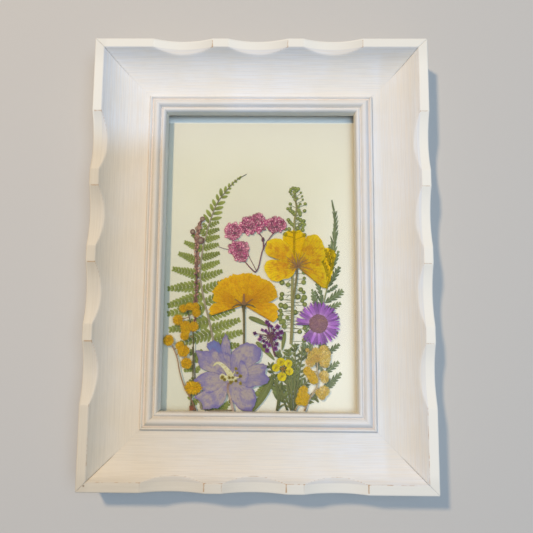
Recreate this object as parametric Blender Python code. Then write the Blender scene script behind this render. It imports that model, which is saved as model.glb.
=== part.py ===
"""A pressed flower frame: a scalloped wooden frame, lying on its back, with glass, card and dried flowers.

X runs across the frame, +Y towards the picture's top and +Z out of its face. The origin is at the middle
of the frame's back. Sizes below are millimetres, and MM turns them into the scene's metres.
"""

import math

import bmesh
import bpy
from mathutils import Matrix, Vector

MM = 0.001

# The frame
SIGHT_WIDTH = 92.1
SIGHT_HEIGHT = 142.9
RAIL_WIDTH = 33.5
DEPTH = 22.0
FRAME_WIDTH = SIGHT_WIDTH + 2 * RAIL_WIDTH
FRAME_HEIGHT = SIGHT_HEIGHT + 2 * RAIL_WIDTH
MITRE_GAP = 0.3
FIT_GAP = 0.3

# Across a rail, from its outer face inwards, and down from its rim
EDGE_BEVEL = 0.4
RIM_WIDTH = 4.4
COVE_END = 25.0
COVE_DROP = 9.3
COVE_CURVE = 3.0
COVE_STEPS = 9
RABBET_EDGE = 28.0
LEDGE_HEIGHT = 11.8
WALL_LEAN = 1.0

# The moulding between the cove and the opening: distance in, and height over the cove's floor
SMALL_RIDGE = ((25.5, 1.3), (25.9, 2.1), (27.1, 2.1), (27.6, 1.3))
ROUND_BEAD = ((28.1, 2.3), (28.9, 3.0), (29.8, 3.2), (30.7, 2.9), (31.4, 1.9))
SIGHT_LIP = ((31.9, 2.3), (32.8, 2.5), (RAIL_WIDTH, 2.0))

# The scoops cut down into the rim
SCOOP_DEPTH = 3.0
SCOOP_CHORD = 28.2
SCOOP_PITCH = 36.0
SHORT_RAIL_SCOOPS = 3
SHORT_RAIL_SHIFT = -1.4
LONG_RAIL_SCOOPS = 4
LONG_RAIL_SHIFT = 0.6
SCOOP_SIDES = 72
SCOOP_INNER_END = 23.5

# What the rabbet holds, from the back
RABBET_SLACK = 0.8
BOARD_BACK = 3.5
BOARD_THICKNESS = 2.5
CARD_THICKNESS = 0.7
GLASS_THICKNESS = 2.0
TAB_LENGTH = 11.0
TAB_WIDTH = 7.0
TAB_THICKNESS = 0.5
TAB_HEIGHT = 2.6
TAB_SUNK = 3.0
SLOT_MOUTH = 1.0
LONG_RAIL_TABS = (-40.0, 40.0)
SHORT_RAIL_TABS = (0.0,)

# The pressed specimens lie in layers between the card and the glass
PRESSED_THICKNESS = 0.25
LAYER_PITCH = 0.45
LAYER_GAP = 0.2
FLAT_ANGLE = 7.0
DISC_SWELL = 0.07
LEAFLET_TOOTH = 5.0
LEAFLET_LEAN = 0.25
DAISY_RAYS = 24
DAISY_CENTRE = (28.1, -30.7)
DAISY_RADIUS = 10.3
DAISY_START = -145
DAISY_SPAN = 335

BOARD_FRONT = BOARD_BACK + BOARD_THICKNESS
CARD_BACK = BOARD_FRONT + FIT_GAP
CARD_FRONT = CARD_BACK + CARD_THICKNESS
GLASS_FRONT = LEDGE_HEIGHT - FIT_GAP
PANEL_WIDTH = FRAME_WIDTH - 2 * RABBET_EDGE - 2 * RABBET_SLACK
PANEL_HEIGHT = FRAME_HEIGHT - 2 * RABBET_EDGE - 2 * RABBET_SLACK


# Scene and small helpers


def clear_scene():
    for obj in list(bpy.data.objects):
        bpy.data.objects.remove(obj, do_unlink=True)


def new_collection(name, parent):
    collection = bpy.data.collections.new(name)
    parent.children.link(collection)
    return collection


def new_material(name, color, roughness, metallic=0.0, transmission=0.0):
    material = bpy.data.materials.new(name)
    material.use_nodes = True
    shader = material.node_tree.nodes["Principled BSDF"]
    shader.inputs["Base Color"].default_value = (*color, 1.0)
    shader.inputs["Roughness"].default_value = roughness
    shader.inputs["Metallic"].default_value = metallic
    shader.inputs["Transmission Weight"].default_value = transmission
    return material


def new_object(name, mesh, collection, material=None):
    obj = bpy.data.objects.new(name, mesh)
    collection.objects.link(obj)
    if material:
        mesh.materials.append(material)
    return obj


def as_helper(obj):
    obj.hide_render = True
    obj.display_type = "WIRE"
    return obj


def outline_mesh(name, outline, thickness):
    """The solid of a flat outline, half its thickness to each side of its own plane."""
    curve = bpy.data.curves.new(name, "CURVE")
    curve.dimensions = "2D"
    curve.fill_mode = "BOTH"
    curve.extrude = thickness * MM / 2
    spline = curve.splines.new("POLY")
    spline.points.add(len(outline) - 1)
    for point, (x, y) in zip(spline.points, outline):
        point.co = (x * MM, y * MM, 0, 1)
    spline.use_cyclic_u = True
    guide = new_object(name + "_outline", curve, bpy.context.scene.collection)
    mesh = bpy.data.meshes.new_from_object(guide)
    bpy.data.objects.remove(guide)
    shape = bmesh.new()
    shape.from_mesh(mesh)
    bmesh.ops.remove_doubles(shape, verts=shape.verts, dist=1e-6)
    bmesh.ops.recalc_face_normals(shape, faces=shape.faces)
    shape.to_mesh(mesh)
    shape.free()
    mesh.name = name
    return mesh


def box(name, collection, size, centre, material=None):
    bpy.ops.mesh.primitive_cube_add(size=1, location=[c * MM for c in centre])
    obj = bpy.context.object
    obj.name = name
    obj.data.name = name
    obj.data.transform(Matrix.Diagonal([side * MM for side in size] + [1]))
    if material:
        obj.data.materials.append(material)
    move_to(obj, collection)
    return obj


def move_to(obj, collection):
    for holder in obj.users_collection:
        holder.objects.unlink(obj)
    collection.objects.link(obj)


def cut(obj, helper):
    modifier = obj.modifiers.new("cut_" + helper.name, "BOOLEAN")
    modifier.operation = "DIFFERENCE"
    modifier.object = helper


# The frame's rails


def rail_profile():
    """A rail's section: distance in from the outer face, and height above the back."""
    rim = DEPTH
    cove_floor = rim - COVE_DROP
    points = [(0, 0), (0, rim - EDGE_BEVEL), (EDGE_BEVEL, rim), (RIM_WIDTH, rim)]
    for step in range(1, COVE_STEPS + 1):
        along = step / COVE_STEPS
        drop = COVE_DROP * (1 - (1 - along) ** COVE_CURVE)
        points.append((RIM_WIDTH + (COVE_END - RIM_WIDTH) * along, rim - drop))
    points += [(inwards, cove_floor + up) for inwards, up in SMALL_RIDGE + ROUND_BEAD + SIGHT_LIP]
    points += [(RAIL_WIDTH + WALL_LEAN, LEDGE_HEIGHT), (RABBET_EDGE, LEDGE_HEIGHT), (RABBET_EDGE, 0)]
    return points


def scoop_places(count, shift):
    return [shift + (index - (count - 1) / 2) * SCOOP_PITCH for index in range(count)]


def mitred_rail_mesh(name, length):
    """A rail along local Z with its outer face at local X 0, cut at 45 degrees at both ends."""
    mesh = outline_mesh(name, rail_profile(), length)
    shape = bmesh.new()
    shape.from_mesh(mesh)
    for end in (1, -1):
        bmesh.ops.bisect_plane(
            shape,
            geom=list(shape.verts) + list(shape.edges) + list(shape.faces),
            plane_co=(0, 0, end * (length - MITRE_GAP * math.sqrt(2)) * MM / 2),
            plane_no=(1, 0, end),
            clear_outer=True,
        )
        bmesh.ops.holes_fill(shape, edges=shape.edges)
    bmesh.ops.recalc_face_normals(shape, faces=shape.faces)
    shape.to_mesh(mesh)
    shape.free()
    return mesh


def rail(name, quarter_turns, length, reach, scoops, tabs, parts, helpers, material):
    """A rail on one side of the frame, with its scoops and tab slots; no quarter turns is the bottom one."""
    turn = Matrix.Rotation(quarter_turns * math.pi / 2, 4, "Z")
    stand = Matrix(((0, 0, 1, 0), (1, 0, 0, -reach * MM), (0, 1, 0, 0), (0, 0, 0, 1)))
    obj = new_object(name, mitred_rail_mesh(name, length), parts, material)
    obj.matrix_world = turn @ stand
    radius = (SCOOP_CHORD**2 / 4 + SCOOP_DEPTH**2) / (2 * SCOOP_DEPTH)
    for index, place in enumerate(scoops):
        bpy.ops.mesh.primitive_cylinder_add(
            vertices=SCOOP_SIDES, radius=radius * MM, depth=RAIL_WIDTH * MM
        )
        scoop = bpy.context.object
        scoop.name = f"{name}_scoop_{index + 1}"
        across = Matrix.Rotation(math.pi / 2, 4, "X")
        inwards = -reach + SCOOP_INNER_END - RAIL_WIDTH / 2
        centre = Vector((place, inwards, DEPTH - SCOOP_DEPTH + radius)) * MM
        scoop.matrix_world = turn @ Matrix.Translation(centre) @ across
        move_to(scoop, helpers)
        cut(obj, as_helper(scoop))
    for index, place in enumerate(tabs):
        size = (TAB_WIDTH + 2 * FIT_GAP, TAB_SUNK + SLOT_MOUTH, TAB_THICKNESS + 2 * FIT_GAP)
        depth = RABBET_EDGE - TAB_SUNK - FIT_GAP + size[1] / 2
        slot = box(f"{name}_slot_{index + 1}", helpers, size, (0, 0, 0))
        centre = Vector((place, -reach + depth, TAB_HEIGHT + TAB_THICKNESS / 2)) * MM
        slot.matrix_world = turn @ Matrix.Translation(centre)
        cut(obj, as_helper(slot))
    return obj


def add_frame(parts, helpers):
    paint = new_material("white_paint", (0.80, 0.79, 0.76), 0.5)
    steel = new_material("tab_steel", (0.45, 0.45, 0.45), 0.4, 1.0)
    short_scoops = scoop_places(SHORT_RAIL_SCOOPS, SHORT_RAIL_SHIFT)
    long_scoops = scoop_places(LONG_RAIL_SCOOPS, LONG_RAIL_SHIFT)
    sides = (
        ("rail_bottom", 0, FRAME_WIDTH, FRAME_HEIGHT / 2, short_scoops, SHORT_RAIL_TABS),
        ("rail_right", 1, FRAME_HEIGHT, FRAME_WIDTH / 2, long_scoops, LONG_RAIL_TABS),
        ("rail_top", 2, FRAME_WIDTH, FRAME_HEIGHT / 2, mirrored(short_scoops), SHORT_RAIL_TABS),
        ("rail_left", 3, FRAME_HEIGHT, FRAME_WIDTH / 2, mirrored(long_scoops), LONG_RAIL_TABS),
    )
    for name, quarter_turns, length, reach, scoops, tabs in sides:
        rail(name, quarter_turns, length, reach, scoops, tabs, parts, helpers, paint)
        for index, place in enumerate(tabs):
            turn = Matrix.Rotation(quarter_turns * math.pi / 2, 4, "Z")
            size = (TAB_WIDTH, TAB_LENGTH, TAB_THICKNESS)
            tab = box(f"tab_{name[5:]}_{index + 1}", parts, size, (0, 0, 0), steel)
            inwards = -reach + RABBET_EDGE - TAB_SUNK + TAB_LENGTH / 2
            centre = Vector((place, inwards, TAB_HEIGHT + TAB_THICKNESS / 2)) * MM
            tab.matrix_world = turn @ Matrix.Translation(centre)


def mirrored(places):
    """The same places seen along a rail that runs the other way."""
    return [-place for place in places]


def add_panels(parts):
    glass = new_material("glass", (0.95, 0.97, 0.96), 0.02, transmission=1.0)
    card = new_material("cream_card", (0.80, 0.77, 0.62), 0.9)
    board = new_material("backing_board", (0.30, 0.21, 0.13), 0.85)
    for name, front, thickness, material in (
        ("glass", GLASS_FRONT, GLASS_THICKNESS, glass),
        ("flower_card", CARD_FRONT, CARD_THICKNESS, card),
        ("backing_board", BOARD_FRONT, BOARD_THICKNESS, board),
    ):
        size = (PANEL_WIDTH, PANEL_HEIGHT, thickness)
        box(name, parts, size, (0, 0, front - thickness / 2), material)


# Flat outlines for the specimens, in millimetres on the card


def catmull_rom(a, b, c, d, t):
    """The point at t between b and c on the smooth curve through a, b, c and d."""
    linear = (c - a) * t
    square = (2 * a - 5 * b + 4 * c - d) * t**2
    cube = (3 * b - a - 3 * c + d) * t**3
    return tuple((2 * b + linear + square + cube) / 2)


def smooth_path(points, steps=4):
    """A smooth line through the points, with this many pieces between each two."""
    ends = [Vector(point) for point in (points[0], *points, points[-1])]
    path = []
    for four in zip(ends, ends[1:], ends[2:], ends[3:]):
        path += [catmull_rom(*four, step / steps) for step in range(steps)]
    return [*path, points[-1]]


def ribbon(path, start_width, end_width, belly=0.0):
    """A strip along a path; belly widens its middle, so that it becomes a leaf."""
    left, right = [], []
    last = len(path) - 1
    for index, point in enumerate(path):
        before, after = path[max(index - 1, 0)], path[min(index + 1, last)]
        along = Vector((after[0] - before[0], after[1] - before[1])).normalized()
        t = index / last
        half = (start_width * (1 - t) + end_width * t + belly * math.sin(math.pi * t)) / 2
        left.append((point[0] - along.y * half, point[1] + along.x * half))
        right.append((point[0] + along.y * half, point[1] - along.x * half))
    return left + right[::-1]


def leaf(base, tip, width, steps=4):
    path = [tuple(b + (t - b) * i / steps for b, t in zip(base, tip)) for i in range(steps + 1)]
    return ribbon(path, 0.5, 0.3, width)


def toothed_leaf(base, tip, width, teeth):
    """A leaf whose sides step out and back in once for each tooth."""
    base, tip = Vector(base), Vector(tip)
    along = tip - base
    across = Vector((-along.y, along.x)).normalized()
    sides = []
    for side in (1, -1):
        edge = []
        for tooth in range(teeth):
            for t, depth in (((tooth + 0.25) / teeth, 0.55), ((tooth + 0.85) / teeth, 1.0)):
                half = width / 2 * depth * math.sin(math.pi * (0.12 + 0.85 * t)) ** 0.7
                edge.append(tuple(base + along * t + across * side * half))
        sides.append(edge)
    foot = across * 0.2
    return [tuple(base + foot), *sides[0], tuple(tip), *sides[1][::-1], tuple(base - foot)]


def disc(centre, radius, height=None, sides=8, bumps=0):
    """A round outline, or an oval one; bumps ripple its edge."""
    height = height or radius
    outline = []
    for index in range(sides):
        angle = 2 * math.pi * (index + 0.5) / sides
        swell = 1 + DISC_SWELL * math.cos(bumps * angle) if bumps else 1
        x = centre[0] + radius * swell * math.cos(angle)
        y = centre[1] + height * swell * math.sin(angle)
        outline.append((x, y))
    return outline


def layer_height(layer):
    return CARD_FRONT + LAYER_GAP + (layer - 1) * LAYER_PITCH + PRESSED_THICKNESS / 2


def pressed(name, outlines, layer, material, parts, helpers):
    """One specimen: outlines that overlap, fused into one flat piece in its layer."""
    place = Matrix.Translation((0, 0, layer_height(layer) * MM))
    first, *others = [outline_mesh(name, outline, PRESSED_THICKNESS) for outline in outlines]
    obj = new_object(name, first, parts, material)
    obj.matrix_world = place
    if others:
        pieces = new_collection(name + "_pieces", helpers)
        for index, mesh in enumerate(others):
            piece = as_helper(new_object(f"{name}_piece_{index + 1}", mesh, pieces))
            piece.matrix_world = place
        modifier = obj.modifiers.new("fuse", "BOOLEAN")
        modifier.operation = "UNION"
        modifier.operand_type = "COLLECTION"
        modifier.collection = pieces
        tidy = obj.modifiers.new("merge_flat_faces", "DECIMATE")
        tidy.decimate_type = "DISSOLVE"
        tidy.angle_limit = math.radians(FLAT_ANGLE)
    return obj


# The specimens


def fern_frond():
    rachis = [(-6.9, 41.8), (-13.4, 37.7), (-19.5, 30), (-23.6, 20.6), (-26.9, 9.7)]
    rachis += [(-28.3, -3.3), (-27.1, -16.7), (-24.5, -27.3), (-22.1, -38.4)]
    left_tips = [(-15.3, 37), (-17.5, 35.6), (-19.4, 34), (-21.3, 31.6), (-23.1, 29.3), (-24.8, 26.8)]
    left_tips += [(-26.3, 23.9), (-28.3, 20.8), (-31.3, 15.8), (-36.6, 8.1), (-39.3, 2.8), (-42.1, -4.8)]
    left_tips += [(-44.2, -14.4), (-43.6, -21.6), (-43.8, -27.5), (-42.7, -33.9)]
    right_tips = [(-13.4, 34.9), (-14.8, 32.9), (-15.9, 30.5), (-16.9, 28), (-17.6, 25.2), (-18.1, 22.6)]
    right_tips += [(-18.7, 19.9), (-19.7, 14.2), (-19.5, 10.4), (-19.4, 6.6), (-19.2, 2.6), (-19.3, -1.6)]
    right_tips += [(-18, -5.7), (-19.3, -10.5), (-12, -25), (-9.1, -28.7), (-8.3, -35)]
    path = smooth_path(rachis, 6)
    outlines = [ribbon(path, 0.5, 1.1)]
    for tips in (left_tips, right_tips):
        for tip in tips:
            reach = min(math.dist(tip, point) for point in path)
            foot_height = tip[1] - LEAFLET_LEAN * reach
            foot = min(path[2:], key=lambda point: abs(point[1] - foot_height))
            teeth = max(2, round(reach / LEAFLET_TOOTH))
            outlines.append(toothed_leaf(foot, tip, min(3.4, 1.0 + 0.24 * reach), teeth))
    return outlines


def fern_pieces():
    """The lower fern leaflets that show beside and below the large blue flower."""
    stalk = smooth_path([(-31.5, -42), (-30.5, -52), (-29.5, -62), (-26.5, -71.5)])
    outlines = [ribbon(stalk, 0.8, 1.0)]
    for foot, tip in (
        ((-31.2, -45), (-36, -44)),
        ((-31, -47), (-28, -44)),
        ((-30.5, -52), (-35, -53.5)),
        ((-30, -57), (-34, -59.5)),
        ((-29.5, -62), (-32.5, -66)),
        ((-28.5, -66), (-31, -70.5)),
        ((-27.5, -69), (-23, -71.5)),
    ):
        outlines.append(toothed_leaf(foot, tip, 2.4, 2))
    return outlines


def low_fern_sprig():
    """A little fern sprig between the blue flower and the green foliage."""
    stalk = smooth_path([(-4, -71.5), (1, -66), (4.5, -60), (5.5, -56)])
    outlines = [ribbon(stalk, 0.8, 0.6)]
    for foot, tip in (
        ((3, -62.5), (0.2, -59.5)),
        ((4, -60.5), (1.7, -57)),
        ((0, -67.5), (-3.2, -67)),
    ):
        outlines.append(toothed_leaf(foot, tip, 1.8, 2))
    return outlines


def seed_spike():
    places = [(-28.2, 19), (-29.6, 14), (-30.3, 8), (-30.4, -3), (-30.2, -15), (-30.2, -29)]
    stem = smooth_path(places, 5)
    right = [(x + (1.3 if index % 2 else 0.7), y) for index, (x, y) in enumerate(stem)]
    left = [(x - (0.7 if index % 2 else 1.3), y) for index, (x, y) in enumerate(stem)]
    outlines = [left + right[::-1]]
    buds = ((-27.8, 19.3, 1.4), (-32.5, 13, 1.3), (-29.3, 14, 1.3), (-28.5, 8.8, 1.5))
    for x, y, radius in buds:
        outlines.append(disc((x, y), radius))
        outlines.append(ribbon([(x, y), (-30.2, y - 2.5)], 0.6, 0.6))
    return outlines


def pink_sprig():
    fork = (-0.6, -4)
    stems = [[(-2.3, -6.3), fork, (1.9, 6), (7.5, 14)], [(1.7, 4.5), (1.3, 10.4), (-2.5, 14.5)]]
    stems += [[(-2.3, -6.3), (-6, -2.5), (-10, 3)], [(-1.6, -5.5), (-3.4, -2), (-6.2, 3), (-11.3, 11)]]
    outlines = [ribbon(smooth_path(stem), 0.9, 0.6) for stem in stems]
    for x, y, width, height in (
        (-12.9, 13.7, 4.3, 4.2),
        (-3.4, 17.1, 6.1, 5.3),
        (7.4, 16.8, 4.7, 3.9),
        (-10.3, 4, 5.3, 4.8),
    ):
        outlines.append(disc((x, y), width, height, sides=15, bumps=5))
    outlines.append(disc((1.5, 10), 0.9, 1.3))
    return outlines


def pepperweed():
    places = [(17, 33.5), (17.2, 29.8), (17.7, 25), (17, 20), (16.7, 14.8)]
    places += [(16.6, -10), (15.8, -24), (15, -40)]
    stalk = smooth_path(places)
    outlines = [ribbon(stalk, 0.7, 1.3)]
    seeds = [(15.2, 34.4), (17.1, 35.2), (18.7, 34.8), (14.8, 32.7), (19.9, 33.1), (20.7, 30)]
    seeds += [(14.7, 27.3), (19.4, 27), (21.9, 27.4), (13.9, 24.8), (15.6, 23.6), (19.3, 23.4)]
    seeds += [(21.6, 24), (14, 19.3), (15.6, 17.5), (19.2, 19.8), (21.2, 18.5), (19.5, 17)]
    seeds += [(12.6, 15.2), (14.4, 15), (18.4, 15.4), (20.8, 14.5), (21.6, 12.2)]
    seeds += [(10.6, -11), (13.4, -12.6), (20.9, -11.3)]
    seeds += [(19.8, -15), (10.8, -17.6), (21.2, -18.8), (12.5, -22.4), (10.4, -24.9)]
    seeds += [(21.4, -22.4), (9.9, -28.9), (17.4, -26), (21.4, -32), (11.5, -33.5)]
    for x, y in seeds:
        foot = min(stalk, key=lambda point: abs(point[1] - (y - 2.2)))
        outlines.append(ribbon([foot, (x, y)], 0.5, 0.5))
        outlines.append(disc((x, y), 1.15, sides=6))
    for index in range(4):
        y = -14 - 5.5 * index
        foot = min(stalk, key=lambda point: abs(point[1] - y))
        outlines.append(ribbon([foot, (foot[0] - 3.4, foot[1] - 0.8)], 0.5, 0.4))
        outlines.append(ribbon([foot, (foot[0] + 3.2, foot[1] - 0.9)], 0.5, 0.4))
    return outlines


def feather_leaf():
    """The tall blue-green leaf at the right, with its side sprigs down to the paler mimosa."""
    places = [(35.1, 28.8), (35.9, 24.7), (36.6, 18.5), (36.4, 12.5), (35.5, 5), (33.9, -6)]
    places += [(31.6, -17), (28, -30), (26, -38), (24, -47)]
    stem = smooth_path(places, 3)
    outlines = [ribbon(stem, 0.4, 1.1)]
    for index, (x, y) in enumerate(stem[3:15]):
        spread = 0.7 + 0.12 * index
        outlines.append(leaf((x, y), (x + spread, y + 3.6), 1.0, 2))
        outlines.append(leaf((x, y), (x - spread, y + 3.4), 1.0, 2))
    for foot, tip, width in (
        ((34.2, -5), (38.2, 4.2), 2.4),
        ((32.6, -13), (38.5, -3.6), 3.2),
        ((31, -20), (39.8, -15), 3.6),
        ((29.4, -24.8), (38.9, -21.1), 3.0),
        ((30.6, -20.5), (26.8, -10.3), 2.8),
        ((28, -29), (24.6, -16.5), 2.8),
        ((27.6, -32), (37.6, -35.6), 2.8),
        ((27, -35), (38.1, -40.8), 3.2),
        ((25.6, -40), (37.3, -48.3), 3.2),
        ((25, -43), (38.7, -53.7), 3.2),
        ((24.3, -46), (35.6, -59.3), 3.0),
    ):
        outlines.append(toothed_leaf(foot, tip, width, 2))
    return outlines


def yellow_flower():
    petals = [(11.5, 9.5), (8.5, 10.5), (5, 9.5), (3, 7.5), (2, 4), (4.2, 1.2), (3, -1.5), (2, -3.5)]
    petals += [(2.5, -7), (3.5, -9), (6, -10.5), (8.5, -11), (11.5, -10), (14, -8), (16.5, -6), (18, -4.8)]
    petals += [(20.5, -4.8), (23, -6), (25, -8.5), (27, -10.5), (30, -12), (32.5, -13.5), (33.5, -11)]
    petals += [(33.5, -7.5), (35.5, -2.5), (38, -1), (37.5, 2), (35.5, 5), (32, 5.5), (30.5, 7.5)]
    petals += [(28.5, 10.5), (25.5, 12), (23, 11), (21.5, 13), (18.5, 14), (16, 14), (13.5, 13)]
    stem = smooth_path([(18, -3.5), (17, -14), (16.2, -26), (16, -38)])
    return [petals, ribbon(stem, 1.6, 1.1)]


def orange_flower():
    petals = [(-24, -26), (-23.5, -23.5), (-22, -21), (-23, -17.5), (-21.5, -14.5), (-20.5, -12)]
    petals += [(-17.5, -10), (-15.5, -8), (-12.5, -7.5), (-9.5, -8), (-7, -7), (-4.5, -6.5), (-1.5, -7.8)]
    petals += [(0.8, -9), (2.6, -11.3), (4.8, -12.9), (6.5, -15), (8.2, -17), (8.2, -20), (7.2, -21)]
    petals += [(8.6, -23.5), (8.2, -27), (6, -29.3), (3.5, -28.2), (1, -27), (-2, -24.5), (-5.5, -22.8)]
    petals += [(-7.5, -22.3), (-10, -22.8), (-12.5, -24), (-16, -25.5), (-20, -26.5)]
    stem = smooth_path([(-7.5, -21), (-7.2, -30), (-7.1, -40.6)])
    return [petals, ribbon(stem, 1.6, 1.0)]


def daisy():
    """A daisy's ring of rays, with a gap at its lower left."""
    step = math.radians(DAISY_SPAN / DAISY_RAYS)
    outline = []
    for index in range(DAISY_RAYS):
        angle = math.radians(DAISY_START) + step * index
        reach = DAISY_RADIUS + 0.45 * math.sin(2.7 * index)
        for turn, radius in ((-0.5, 6), (-0.28, reach - 1.6), (0, reach), (0.28, reach - 1.6)):
            at = angle + turn * step
            x = DAISY_CENTRE[0] + radius * math.cos(at)
            y = DAISY_CENTRE[1] + radius * math.sin(at)
            outline.append((x, y))
    return [outline]


def alyssum():
    hub = (7.6, -46)
    outlines = [ribbon([hub, (5.6, -41.5), (5.2, -37.2)], 0.9, 0.7)]
    florets = [(-1.8, -35.6), (0.2, -38.5), (1.4, -33.7), (3.4, -31.3), (9, -32.2), (11.1, -34.7)]
    florets += [(10.3, -37.1), (8.2, -42.2), (4, -43.1), (2.3, -41.4), (5.9, -31.2), (3, -34.6)]
    florets += [(6.5, -34.4), (7.6, -37.6)]
    for x, y in florets:
        outlines.append(ribbon([(5.4, -39.5), (x, y)], 0.5, 0.5))
        outlines.append(disc((x, y), 1.25, sides=6))
    return outlines


def yellow_umbel():
    centre = (11.6, -51.8)
    outlines = [disc(centre, 1.2)]
    for x, y in ((10.2, -48.8), (13.9, -49.3), (8.2, -51.8), (14.6, -53), (10.8, -55.6)):
        outlines.append(ribbon([centre, (x, y)], 0.8, 0.8))
        outlines.append(disc((x, y), 1.75, sides=10, bumps=5))
    return outlines


def delphinium():
    upper_left = [(-17.5, -55), (-19.5, -51.5), (-26, -49), (-28, -45), (-29, -43), (-25, -42.5), (-24, -40)]
    upper_left += [(-19, -39.5), (-15.5, -36.5), (-14, -40), (-12.4, -44.5), (-12.6, -50), (-13, -56)]
    upper_right = [(-13.5, -55), (-13.4, -45), (-11, -41.5), (-7, -40.5), (-3, -41), (0, -43), (1, -46.5)]
    upper_right += [(-1, -50), (-4, -54), (-9, -57)]
    right = [(-11, -54.5), (-4, -52.5), (0.5, -50.5), (4, -51.5), (5, -55.5), (4.5, -58.5), (2, -60)]
    right += [(-3, -60.8), (-7, -60.2), (-11, -58.5)]
    lower_right = [(-13, -57), (-10.5, -56.5), (-6, -59.5), (-2, -62.5), (-1.5, -67.5), (-3, -71.3)]
    lower_right += [(-7, -71.3), (-10.5, -69.5), (-13, -65.5)]
    lower_left = [(-13, -57), (-19.5, -60.5), (-24.5, -63), (-26, -68), (-24, -71), (-19.5, -70.5)]
    lower_left += [(-14.5, -67.5), (-12.6, -62.5)]
    left = [(-13, -57.5), (-17.5, -55.8), (-20.5, -54.5), (-25, -53.5), (-28.5, -55.5), (-29.5, -58.5)]
    left += [(-28.5, -62), (-25, -63.5), (-20.5, -62.5), (-15, -59.5)]
    stem = smooth_path([(-14.2, -57), (-14.2, -62), (-11.8, -72)])
    petals = [upper_left, upper_right, right, lower_right, lower_left, left]
    return [disc((-13.2, -56.5), 3.2, sides=12), *petals, ribbon(stem, 1.3, 1.2)]


def balls_on_stalks(balls, stem):
    """Round flower heads (x, y, radius), each on a short stalk from the nearest point of the stem."""
    outlines = []
    for x, y, radius in balls:
        foot = min(stem, key=lambda point: math.dist(point, (x, y)))
        outlines.append(disc((x, y), radius))
        outlines.append(ribbon([foot, (x, y)], 0.6, 0.6))
    return outlines


def left_mimosa():
    places = [(-29.2, -71.9), (-31.6, -66), (-34, -62.3), (-35.8, -58), (-37.3, -53), (-38.6, -47)]
    main = smooth_path([*places, (-41.5, -40.6)], 3)
    side = smooth_path([(-30.9, -58), (-31, -47.3), (-31.2, -35.8), (-33, -29)], 3)
    joint = [(-30.9, -57), (-31.6, -66)]
    outlines = [ribbon(main, 1.0, 0.6), ribbon(side, 0.7, 0.6), ribbon(joint, 0.6, 0.6)]
    balls = [(-36.1, -24.1, 2.1), (-33.4, -23, 2.0), (-30, -24.6, 2.4), (-38.7, -29.5, 2.5)]
    balls += [(-34.8, -30.6, 2.4), (-30.8, -32.2, 2.3), (-35, -35.6, 2.6), (-42.6, -39.2, 2.2)]
    balls += [(-35.9, -42.6, 3.0), (-33.9, -49.8, 2.6), (-30.6, -61.1, 3.9)]
    return outlines + balls_on_stalks(balls, main + side)


def right_mimosa():
    main = smooth_path([(21.5, -71.5), (24, -65.5), (27.6, -59.6), (27.6, -53.2), (27.4, -45)])
    outlines = [ribbon(main, 1.0, 0.6), ribbon([(17.2, -71.1), (20, -66)], 0.9, 0.8)]
    balls = [(25.2, -45.7, 2.8), (30.9, -44, 2.8), (24.4, -49.3, 2.4), (30.9, -48.4, 2.6)]
    balls += [(23.6, -52.9, 2.6), (25.2, -56.2, 2.6), (31.2, -55.4, 2.6), (30.6, -62.2, 3.0)]
    balls += [(20.6, -62.6, 3.0), (20, -66.4, 2.8), (22.9, -43.2, 1.4)]
    return outlines + balls_on_stalks(balls, main)


def green_foliage():
    """The dark green leaves at the bottom centre, all growing from one foot."""
    stems = (
        [(8.8, -71.5), (10, -66), (9.5, -57), (7.6, -48)],
        [(15.4, -71.2), (13.5, -66), (10, -63), (5, -58)],
        [(15.4, -71.2), (14, -62), (12.6, -52), (11.8, -43)],
        [(16.9, -71.3), (16.4, -62), (17, -52), (18, -42.5)],
        [(16.6, -66), (19, -56), (21, -46), (22, -38)],
    )
    outlines = [ribbon(smooth_path(stem, 3), 1.2, 0.7) for stem in stems]
    outlines.append(ribbon([(8.8, -70.8), (12, -68.6), (15.4, -70.6)], 0.9, 0.9))
    for foot, tip, width in (
        ((9.6, -57), (3.4, -51), 2.6),
        ((9, -53), (4.8, -45.8), 2.4),
        ((10, -62), (5.2, -56.6), 2.4),
        ((9, -61.5), (4.2, -63), 2.2),
        ((9.8, -65.8), (5, -66.4), 2.4),
        ((13, -56), (8.8, -50.8), 2.0),
        ((12.6, -52), (15, -43.6), 2.4),
        ((16.6, -57), (13.8, -49.4), 2.2),
        ((17, -53), (20.2, -46), 2.4),
        ((19.3, -55), (16.4, -49), 2.0),
        ((16.3, -62), (20.8, -56.4), 2.6),
        ((14.2, -63.5), (9.9, -59), 2.2),
        ((20.4, -49), (23.4, -43.6), 1.8),
        ((21.4, -43.6), (19, -38.4), 1.8),
        ((14, -63), (18.5, -60), 2.2),
    ):
        outlines.append(toothed_leaf(foot, tip, width, 2))
    return outlines


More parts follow.
